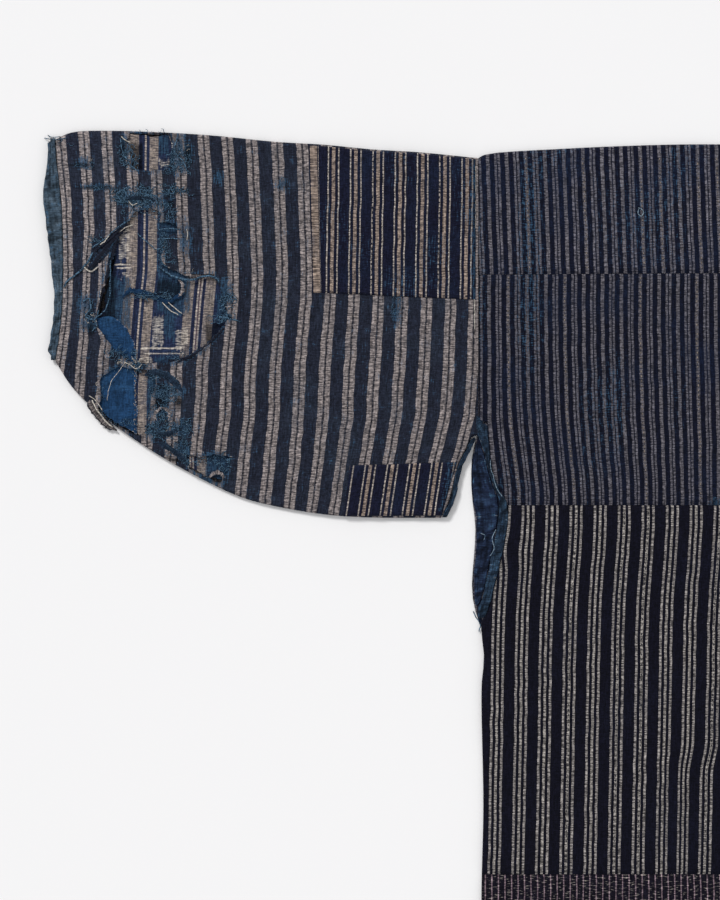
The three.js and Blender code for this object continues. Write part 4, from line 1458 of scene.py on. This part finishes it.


# loose threads, their routes listed
looseThreads = {
    "indigoThread": [
        # radius, then x, y and height over the sleeve
        (0.85, [(-576, -96, -0.8), (-567, -103, 0.6), (-560, -106, 1.2), (-548, -108, 1.0), (-538, -105, 1.2), (-529, -105, 1.1), (-523, -110, 0.3)]),
        (0.8, [(-632, -84, 0.8), (-637, -93, 0.9), (-645, -102, 0.9), (-654, -109, 0.5), (-657, -114, 0.4)]),
        (0.5, [(-600, -56, 1.0), (-612, -64, 1.6), (-622, -73, 1.8), (-634, -81, 1.0)]),
        (0.45, [(-617, -90, 0.5), (-617.5, -108, 0.3), (-618, -122, 0.3), (-622, -134, 0.6), (-629, -140, 0.8)]),
        (0.6, [(-641, -127, 0.8), (-636, -124, 1.5), (-634, -132, 1.7), (-638, -139, 1.2), (-631, -142, 1.6), (-627, -134, 1.0)]),
        (0.5, [(-640, -136, 0.8), (-634, -141, 1.6), (-629, -147, 1.4), (-633, -152, 0.8)]),
        (0.45, [(-594, -68, -0.8), (-584, -77, 0.8), (-577, -82, 0.9), (-570, -76, 0.9)]),
        (0.5, [(-577, -65, -0.6), (-566, -64, 0.6), (-557, -65, 0.6)]),
        (0.5, [(-577, -73, -0.6), (-566, -72.5, 0.5), (-558, -73, 0.6)]),
        (0.6, [(-525, -139, 0.2), (-516, -141, 0.9), (-505, -144, 0.5)]),
        (0.5, [(-609, 14, 0.8), (-607, 2, 1.0), (-601, -8, 1.0), (-594, -15, 0.6)]),
        (0.45, [(-560, 14, 0.6), (-562, 2, 1.0), (-555, -6, 0.9), (-552, -14, 0.4)]),
        (0.4, [(-675, 14.5, -2.5), (-671, 13.5, -1.0), (-664, 12.5, 0.5), (-655, 14, 0.8)]),
        (0.35, [(-672, 17, -2.5), (-668, 15, -1.0), (-660, 15.5, 0.5)]),
        (0.45, [(-306, -392, -3.0), (-303, -398, -3.0), (-300, -404, -3.4), (-301, -410, -3.8)]),
    ],
    "rubbedThread": [
        (0.35, [(-165, -46, 0.6), (-162, -47, 1.0), (-160, -50, 0.9), (-162, -53, 0.9), (-165, -51, 1.0), (-164, -47, 0.7)]),
        (0.3, [(-291.5, -262, 0.4), (-291, -269, 0.5), (-289, -276, 0.5), (-287, -284, 0.5), (-281, -294, 0.4)]),
        (0.3, [(-292, -345, 0.5), (-288, -338, 0.6), (-290, -330, 0.6), (-287, -322, 0.5)]),
        (0.3, [(-300, -325, 0.2), (-296, -327, 0.4), (-297, -331, 0.4)]),
    ],
    "creamThread": [
        (0.22, [(-604, -178, 0.8), (-610, -186, 0.4), (-616, -194, 0.3), (-619, -203, 0.2), (-620, -211, 0.2)]),
        (0.35, [(-606, -178, 0.5), (-600, -181, 1.0), (-595, -184, 0.8), (-590, -180, 0.6)]),
        (0.4, [(-568, -127, 0.3), (-562, -132, 0.2), (-556, -137, 0.0)]),
        (0.4, [(-573, -127, 0.2), (-566, -134, 0.1), (-559, -138, 0.0)]),
        (0.45, [(-608, 15, 0.9), (-604, 12, 1.3), (-600, 10, 0.8)]),
        (0.45, [(-617, -68, 1.4), (-622, -75, 2.2), (-626, -78, 2.0)]),
        (0.55, [(-640, -97, 1.0), (-634, -101, 1.6), (-628, -97, 1.4)]),
        (0.4, [(-611, -68, 0.6), (-604, -63, 1.2), (-598, -61, 0.8)]),
        (0.35, [(-552, -64, 0.5), (-551, -69, 0.9), (-551.5, -74, 0.6)]),
        (0.35, [(-602, -40, 0.8), (-598, -44, 1.2), (-594, -42, 0.8)]),
        (0.35, [(-305, -150, 0.3), (-305.5, -100, 0.4), (-304.5, -60, 0.4), (-304, -10, 0.2)]),
        (0.6, [(-633, -211, 1.4), (-629, -219, 2.2), (-623, -227, 2.2), (-616, -234, 1.2)]),
        (0.35, [(-636, -207, 0.8), (-630, -211, 2.0), (-624, -220, 2.2)]),
    ],
    "darkThread": [
        (0.7, [(-568, -177, -0.4), (-555, -175, 0.3), (-541, -169, 0.5), (-529, -159, 0.5), (-520, -149, 0.2)]),
        (0.8, [(-602, -60, 0.0), (-612, -68, 0.9), (-622, -77, 1.4), (-630, -83, 0.8)]),
    ],
}


def makeThreads(kind, routes):
    data = bpy.data.curves.new(kind, "CURVE")
    data.dimensions = "3D"
    data.bevel_depth = 0.001
    data.bevel_resolution = 1
    for radius, route in routes:
        points = np.array(route, float)
        body = points[:, 0] > coat["armhole"]
        ground = np.where(body, backHeight(points[:, 0], points[:, 1]), sleeveSurface(points[:, 0], points[:, 1]))
        points[:, 2] += ground
        points = smoothLine(points, 1.0)
        bend = softNoise(np.arange(len(points)), radius * 50, 3.0, 111)
        points[:, 0] += 0.35 * bend
        points[:, 1] += 0.35 * np.roll(bend, 2)
        points[:, 2] = np.maximum(points[:, 2], radius + 0.05)
        spline = data.splines.new("POLY")
        spline.points.add(len(points) - 1)
        for point, place in zip(spline.points, toMetres(points)):
            point.co = (*place, 1)
            point.radius = radius
        spline.points[0].radius = radius * 0.3
        spline.points[-1].radius = radius * 0.3
    data.use_fill_caps = True
    curve = bpy.data.objects.new(f"{kind}Curve", data)
    bpy.context.scene.collection.objects.link(curve)
    mesh = bpy.data.meshes.new_from_object(curve.evaluated_get(bpy.context.evaluated_depsgraph_get()))
    bpy.data.objects.remove(curve)
    mesh.name = kind
    piece = bpy.data.objects.new(f"loose{kind[0].upper()}{kind[1:]}", mesh)
    bpy.context.scene.collection.objects.link(piece)
    mesh.materials.clear()
    mesh.materials.append(threads[kind])
    mesh.polygons.foreach_set("use_smooth", np.ones(len(mesh.polygons), bool))
    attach(piece, "root")


for kind, routes in looseThreads.items():
    makeThreads(kind, routes)
print("loose threads laid")


# Geometry Nodes: frays and running stitches
def newTree(name, inputs):
    # a tree with a geometry input, the named inputs and a material
    tree = bpy.data.node_groups.new(name, "GeometryNodeTree")
    tree.interface.new_socket("Geometry", in_out="INPUT", socket_type="NodeSocketGeometry")
    for label, kind, value in inputs:
        socket = tree.interface.new_socket(label, in_out="INPUT", socket_type=kind)
        socket.default_value = value
    tree.interface.new_socket("Material", in_out="INPUT", socket_type="NodeSocketMaterial")
    tree.interface.new_socket("Geometry", in_out="OUTPUT", socket_type="NodeSocketGeometry")
    return tree, tree.nodes.new("NodeGroupInput").outputs


def endTree(tree, source, instances):
    real = add(tree, "GeometryNodeRealizeInstances", {0: instances})
    dyed = add(tree, "GeometryNodeSetMaterial", {0: real, "Material": source["Material"]})
    end = tree.nodes.new("NodeGroupOutput")
    tree.links.new(dyed, end.inputs[0])
    return tree


def frayTree():
    # short bent threads scattered over a guide, whose points say how they lie
    tree, source = newTree(
        "frays", [("Thread Radius", "NodeSocketFloat", 0.03), ("Seed", "NodeSocketInt", 3)]
    )
    crowd = add(tree, "GeometryNodeInputNamedAttribute", {"Name": "crowd"}, data_type="FLOAT")
    heading = add(tree, "GeometryNodeInputNamedAttribute", {"Name": "heading"}, data_type="FLOAT")
    spread = add(tree, "GeometryNodeInputNamedAttribute", {"Name": "spread"}, data_type="FLOAT")
    reachOut = add(tree, "GeometryNodeInputNamedAttribute", {"Name": "reach"}, data_type="FLOAT")
    points = add(
        tree, "GeometryNodeDistributePointsOnFaces", {0: source["Geometry"], "Density": crowd, "Seed": source["Seed"]}
    )
    bent = add(
        tree,
        "GeometryNodeCurveQuadraticBezier",
        {"Resolution": 5, "Start": (0, 0, 0), "Middle": (0.55, 0.5, 0.08), "End": (0.85, -0.1, 0.0)},
    )
    section = add(tree, "GeometryNodeCurvePrimitiveCircle", {"Resolution": 3, "Radius": source["Thread Radius"]})
    fibre = add(tree, "GeometryNodeCurveToMesh", {0: bent, 1: section, "Fill Caps": True})
    swing = add(tree, "FunctionNodeRandomValue", {2: -1.0, 3: 1.0, "Seed": 5}, out=1, data_type="FLOAT")
    turned = add(tree, "ShaderNodeMath", {0: swing, 1: spread, 2: heading}, operation="MULTIPLY_ADD")
    tilt = add(tree, "FunctionNodeRandomValue", {2: -0.1, 3: 0.06, "Seed": 6}, out=1, data_type="FLOAT")
    lean = add(tree, "FunctionNodeRandomValue", {2: -0.35, 3: 0.35, "Seed": 7}, out=1, data_type="FLOAT")
    side = add(tree, "FunctionNodeRandomValue", {4: 0, 5: 1, "Seed": 9}, out=2, data_type="INT")
    # half of the threads bend to the left and half to the right
    roll = add(tree, "ShaderNodeMath", {0: side, 1: math.pi, 2: lean}, operation="MULTIPLY_ADD")
    lie = add(tree, "ShaderNodeCombineXYZ", {0: roll, 1: tilt, 2: turned})
    stretch = add(tree, "FunctionNodeRandomValue", {2: 0.45, 3: 1.15, "Seed": 8}, out=1, data_type="FLOAT")
    size = add(tree, "ShaderNodeMath", {0: stretch, 1: reachOut}, operation="MULTIPLY")
    placed = add(
        tree, "GeometryNodeInstanceOnPoints", {"Points": points, "Instance": fibre, "Rotation": lie, "Scale": size}
    )
    return endTree(tree, source, placed)


def stitchTree():
    # one long bead of thread at every step along a line
    tree, source = newTree(
        "runningStitches",
        [
            ("Spacing", "NodeSocketFloat", 0.0043),
            ("Stitch Length", "NodeSocketFloat", 0.0019),
            ("Thread Radius", "NodeSocketFloat", 0.00045),
            ("Seed", "NodeSocketInt", 4),
        ],
    )
    line = add(tree, "GeometryNodeMeshToCurve", {0: source["Geometry"]})
    steps = add(tree, "GeometryNodeResampleCurve", {"Curve": line, "Length": source["Spacing"]}, mode="LENGTH")
    heading = add(tree, "GeometryNodeInputTangent")
    turned = add(tree, "FunctionNodeAlignRotationToVector", {"Vector": heading}, axis="X")
    bead = add(tree, "GeometryNodeMeshUVSphere", {"Segments": 5, "Rings": 3, "Radius": 1.0})
    half = add(tree, "ShaderNodeMath", {0: source["Stitch Length"], 1: 0.5}, operation="MULTIPLY")
    flat = add(tree, "ShaderNodeMath", {0: source["Thread Radius"], 1: 0.8}, operation="MULTIPLY")
    extent = add(tree, "ShaderNodeCombineXYZ", {0: half, 1: source["Thread Radius"], 2: flat})
    shaped = add(tree, "GeometryNodeTransform", {"Geometry": bead, "Scale": extent})
    vary = add(tree, "FunctionNodeRandomValue", {2: 0.7, 3: 1.3, "Seed": source["Seed"]}, out=1, data_type="FLOAT")
    placed = add(
        tree, "GeometryNodeInstanceOnPoints", {"Points": steps, "Instance": shaped, "Rotation": turned, "Scale": vary}
    )
    return endTree(tree, source, placed)


def grow(name, guide, tree, values, material):
    # runs a tree on a guide mesh and keeps the result as a plain mesh
    modifier = guide.modifiers.new(tree.name, "NODES")
    modifier.node_group = tree
    for item in tree.interface.items_tree:
        if item.in_out == "INPUT" and item.name in values:
            modifier[item.identifier] = values[item.name]
        if item.in_out == "INPUT" and item.name == "Material":
            modifier[item.identifier] = threads[material]
    mesh = bpy.data.meshes.new_from_object(guide.evaluated_get(bpy.context.evaluated_depsgraph_get()))
    bpy.data.objects.remove(guide)
    mesh.name = name
    piece = bpy.data.objects.new(name, mesh)
    bpy.context.scene.collection.objects.link(piece)
    for attribute in [a.name for a in mesh.attributes if a.name in ("crowd", "heading", "spread", "reach")]:
        mesh.attributes.remove(mesh.attributes[attribute])
    mesh.polygons.foreach_set("use_smooth", np.ones(len(mesh.polygons), bool))
    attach(piece, "root")
    print(name, len(mesh.polygons), "faces")
    return piece


# middle x and y, reach across and along, heading and spread in degrees, thread length, threads per square mm
frayPlaces = {
    "indigoThread": [
        (-600, -36, 20, 8, 0, 60, 7.5, 0.75), (-586, -44, 14, 6, 20, 80, 6, 0.51), (-603, -51, 8, 5, 30, 80, 5.2, 0.42),
        (-604, 1, 7, 11, -95, 60, 6.8, 0.51), (-598, -8, 8, 7, 130, 80, 6, 0.42), (-560, -1, 7, 11, -80, 60, 6.8, 0.55),
        (-553, -4, 5, 11, -90, 50, 6, 0.42), (-567, -14, 12, 3, 0, 50, 5.2, 0.42), (-568, -52, 9, 8, 100, 70, 6, 0.47),
        (-571, -81, 5, 8, 60, 70, 5.2, 0.42), (-567, -92, 7, 6, 150, 60, 6, 0.42), (-519, -130, 6, 13, 10, 50, 6.8, 0.68),
        (-527, -142, 9, 4, 0, 40, 6, 0.42), (-583, -192, 6, 6, 60, 90, 5.2, 0.42), (-572, -206, 13, 8, 20, 80, 6, 0.6),
        (-574, -222, 8, 7, 70, 90, 6, 0.42), (-575, -237, 14, 9, 10, 80, 6, 0.65), (-556, -235, 8, 7, 0, 80, 6, 0.38),
        (-556, -256, 7, 12, 60, 80, 6, 0.42), (-540, -263, 10, 4, 20, 70, 6, 0.3), (-521, -266, 8, 8, 40, 90, 6, 0.42),
        (-609, -172, 14, 6, 20, 80, 6, 0.34), (-596, -183, 10, 4, 10, 70, 6, 0.34), (-637, -136, 7, 8, 60, 90, 4.5, 0.51),
        (-640, -9, 9, 2.5, 0, 25, 6, 0.42), (-629, -28.5, 15, 2, 0, 20, 6, 0.34), (-372, -134, 4, 16, 95, 25, 5.2, 0.21),
        (-560, -174, 12, 4, 10, 60, 5.2, 0.34), (-545, -170, 6, 4, 30, 60, 4.5, 0.34), (-470, -26, 4, 5, 80, 60, 3.8, 0.17),
        (-604, -230, 9, 3, 20, 60, 4.5, 0.5), (-570, -254, 10, 4, -25, 50, 4.5, 0.5), (-658, 9, 8, 2, 0, 60, 5.2, 0.26),
        (-583, -121, 20, 3.5, 0, 40, 6, 0.7), (-572, -80, 3, 14, 90, 40, 5, 0.8),
        (-575, -32, 26, 5, 0, 35, 7, 0.5), (-628, -72, 10, 4, -45, 30, 6, 0.4),
    ],
    "creamThread": [
        (-634, -6, 6, 1.5, 80, 50, 3, 0.3), (-593, -43, 5, 3, 40, 90, 3.8, 0.26), (-600, -60, 6, 3, 30, 80, 3.8, 0.21),
        (-602, -178, 12, 4, 30, 90, 4.5, 0.19), (-570, -226, 6, 5, 60, 90, 4.5, 0.12), (-554, 3, 5, 6, 60, 90, 3.8, 0.1),
        (-548, -101, 6, 1.5, 90, 35, 3, 0.42), (-530, -103, 6, 1.5, 90, 35, 3, 0.42), (-634, -141, 6, 5, 40, 90, 3.8, 0.17),
        (-560, -196, 3, 4, 70, 60, 3.8, 0.21), (-628, -204, 3, 9, 100, 30, 4, 0.16), (-595, -205, 1.2, 24, 90, 40, 2.2, 0.42),
        (-541, -256, 4, 1.5, 90, 40, 3, 0.34), (-596, -231, 5, 3, 30, 80, 3.8, 0.17),
    ],
}


def makeFrays(kind, seed):
    # small oval guides on the cloth, and for the blue weft a thin strip along every torn edge
    points, faces, crowd, heading, spread, reachOut = [], [], [], [], [], []
    for x, y, rx, ry, angle, swing, length, count in frayPlaces[kind]:
        start = len(points)
        ring = np.radians(np.arange(0, 360, 40))
        for px, py in zip(x + rx * np.cos(ring), y + ry * np.sin(ring)):
            points.append((px, py, float(sleeveSurface(px, py)) + 0.25))
        faces.append(tuple(range(start, start + len(ring))))
        crowd += [count * 0.5e6] * len(ring)
        heading += [math.radians(angle)] * len(ring)
        spread += [math.radians(swing)] * len(ring)
        reachOut += [length / 1000] * len(ring)
    if kind == "indigoThread":
        for outline in tornEdges.values():
            for a, b in zip(outline, np.roll(outline, -1, axis=0)):
                way = (b - a) / max(np.linalg.norm(b - a), 1e-6)
                inward = np.array([-way[1], way[0]])
                start = len(points)
                for px, py in (a - inward, b - inward, b + inward, a + inward):
                    points.append((px, py, float(sleeveSurface(px, py)) - 0.3))
                faces.append(tuple(range(start, start + 4)))
                crowd += [0.16e6] * 4
                heading += [math.atan2(inward[1], inward[0])] * 4
                spread += [math.radians(55)] * 4
                reachOut += [0.004] * 4
    mesh = bpy.data.meshes.new(f"{kind}Guide")
    mesh.from_pydata(toMetres(points).tolist(), [], faces)
    for label, values in (("crowd", crowd), ("heading", heading), ("spread", spread), ("reach", reachOut)):
        mesh.attributes.new(label, "FLOAT", "POINT").data.foreach_set("value", values)
    guide = bpy.data.objects.new(f"{kind}Guide", mesh)
    bpy.context.scene.collection.objects.link(guide)
    grow(f"{kind}Frays", guide, frays, {"Thread Radius": 0.055, "Seed": seed}, kind)


frays = frayTree()
stitches = stitchTree()
makeFrays("indigoThread", 3)
makeFrays("creamThread", 9)


def makeStitchRows(name, rows, values, material):
    # rows are lists of x, y, z points in mm
    points, edges = [], []
    for row in rows:
        edges += [(len(points) + k, len(points) + k + 1) for k in range(len(row) - 1)]
        points += [tuple(point) for point in row]
    mesh = bpy.data.meshes.new(f"{name}Guide")
    mesh.from_pydata(toMetres(points).tolist(), edges, [])
    guide = bpy.data.objects.new(f"{name}Guide", mesh)
    bpy.context.scene.collection.objects.link(guide)
    return grow(name, guide, stitches, values, material)


def runs(x, y, fine, lift):
    # the stretches of a line on the sleeve where a row can be sewn
    rows, run = [], []
    for k in range(len(y)):
        if fine[k]:
            run.append((x[k], y[k], float(sleeveSurface(x[k], y[k])) + lift))
        if run and (not fine[k] or k == len(y) - 1):
            rows += [run] if len(run) > 3 else []
            run = []
    return rows


def sleeveRows():
    # one row of stitches between the two stripes of every pair
    rows = []
    for rest in sleeve["pairs"]:
        y = np.arange(12.0, -306.0, -3.0)
        x = rest + sleeveLean(np.full(len(y), rest), y)
        x = x + slitBend(x + slitBend(x, y), y)
        low = np.interp(x, sleeveColumns, sleeveLow)
        high = np.interp(x, sleeveColumns, sleeveTopLine)
        fine = (y > low + 3) & (y < high - 3)
        for outline in tornEdges.values():
            fine &= ~inside(outline, x, y)
        under = (x > -444) & (y > -122) & (x < -303) | (x > -416) & (y < -266)
        rows += runs(x, y, fine & ~under, 0.1)
    return rows


def backRow(node, across, yStart, yEnd):
    # a row of stitches along one line of a back panel's stripes
    y = np.arange(yStart, yEnd, -3.0)
    x = np.full(len(y), -200.0)
    for _ in range(6):
        x = x + across - backStripes(node, x, y)
    return [(px, py, float(backHeight(px, py)) + 0.05) for px, py in zip(x, y)]


def patchRow(group, side, yStart, yEnd):
    # a row along a white line of the upper patch: side is -1 for the group's left line, 1 for its right one
    y = np.arange(yStart, yEnd, -2.0)
    x = -427.4 + 19.1 * group + 4.45 * side + 1.6 * (1 - ease(-y / 110))
    return [(px, py, float(sleeveSurface(px, py)) + 1.5) for px, py in zip(x, y)]


def edgeRow(points, lift):
    # a row round a patch, a little in from its edge
    line = smoothLine(points, 2.0)
    return [(px, py, float(sleeveSurface(px, py)) + lift) for px, py in line]


darkRows = sleeveRows()
darkRows += [backRow("back_waist", 20.4 * k + 10.2, -308, -612) for k in (2, 4, 5, 8, 10)]
darkRows += [backRow("back_upper", 16.3 * k + 12.2, -108, -296) for k in (2, 5, 7, 9, 12, 15)]
darkRows += [backRow("shoulder", 16.3 * k + 12.2, -4, -98) for k in (1, 4, 8, 11, 14)]
darkRows += [patchRow(group, side, -2, -114) for group, side in ((2, -1), (5, -1))]
paleRows = [patchRow(0, -1, 6, -30), patchRow(1, -1, -8, -112), patchRow(2, 1, -50, -114), patchRow(4, -1, 0, -114)]
paleRows += [patchRow(5, 1, -70, -116)]
darkRows.append(edgeRow([(-438, -117.5), (-400, -119.5), (-350, -121), (-308, -122)], 1.3))
sleeveThread = {"Spacing": 0.0043, "Stitch Length": 0.0022, "Thread Radius": 0.0005}
makeStitchRows("darkStitches", darkRows, sleeveThread, "darkThread")

paleThread = {"Spacing": 0.0034, "Stitch Length": 0.0024, "Thread Radius": 0.00045}
makeStitchRows("paleStitches", paleRows, paleThread, "creamThread")

taupeRows = [backRow("back_upper", 16.3 * k + 4.1, -106, -297) for k in (1, 4, 8, 11, 13, 16)]
taupeRows += [backRow("shoulder", 16.3 * k + 4.1, -4, -99) for k in (2, 5, 8, 9, 11, 12)]
taupeRows.append(edgeRow([(-596.8, -182), (-596.2, -200), (-596.4, -236)], 0.3))
taupeThread = {"Spacing": 0.004, "Stitch Length": 0.0024, "Thread Radius": 0.0005}
makeStitchRows("taupeStitches", taupeRows, taupeThread, "taupeThread")
print("frays and stitches grown")

# floor, light and camera
view = {
    "middle": (-0.4033, 0.3038),  # the part of the coat that is looked at, in the frame
    "tall": 0.774,
    "height": 2.2,
}


def makeStage():
    size = 15.0
    mesh = bpy.data.meshes.new("floor")
    mesh.from_pydata([(-size, -size, 0), (size, -size, 0), (size, size, 0), (-size, size, 0)], [], [(0, 1, 2, 3)])
    floor = bpy.data.objects.new("floor", mesh)
    bpy.context.scene.collection.objects.link(floor)
    material = bpy.data.materials.new("paleStudioFloor")  # matt white board
    material.use_nodes = True
    shader = material.node_tree.nodes["Principled BSDF"]
    shader.inputs["Base Color"].default_value = linear("#f4f4f5")
    shader.inputs["Roughness"].default_value = 0.95
    shader.inputs["Specular IOR Level"].default_value = 0.1
    mesh.materials.append(material)
    world = bpy.data.worlds.new("studio")
    world.use_nodes = True
    world.node_tree.nodes["Background"].inputs["Color"].default_value = linear("#f5f5f6")
    world.node_tree.nodes["Background"].inputs["Strength"].default_value = 0.66
    bpy.context.scene.world = world
    lamp = bpy.data.lights.new("window", "SUN")
    lamp.energy = 1.9
    lamp.angle = math.radians(14)
    lamp.color = (1.0, 0.99, 0.975)
    sun = bpy.data.objects.new("window", lamp)
    sun.rotation_euler = (math.radians(-38), math.radians(-30), 0)
    bpy.context.scene.collection.objects.link(sun)
    lens = bpy.data.cameras.new("camera")
    lens.sensor_width = 36
    lens.lens = lens.sensor_width * view["height"] / view["tall"]
    camera = bpy.data.objects.new("camera", lens)
    camera.location = (*view["middle"], view["height"])
    bpy.context.scene.collection.objects.link(camera)
    bpy.context.scene.camera = camera
    bpy.context.scene.view_settings.view_transform = "Standard"


makeStage()

print("coat finished")
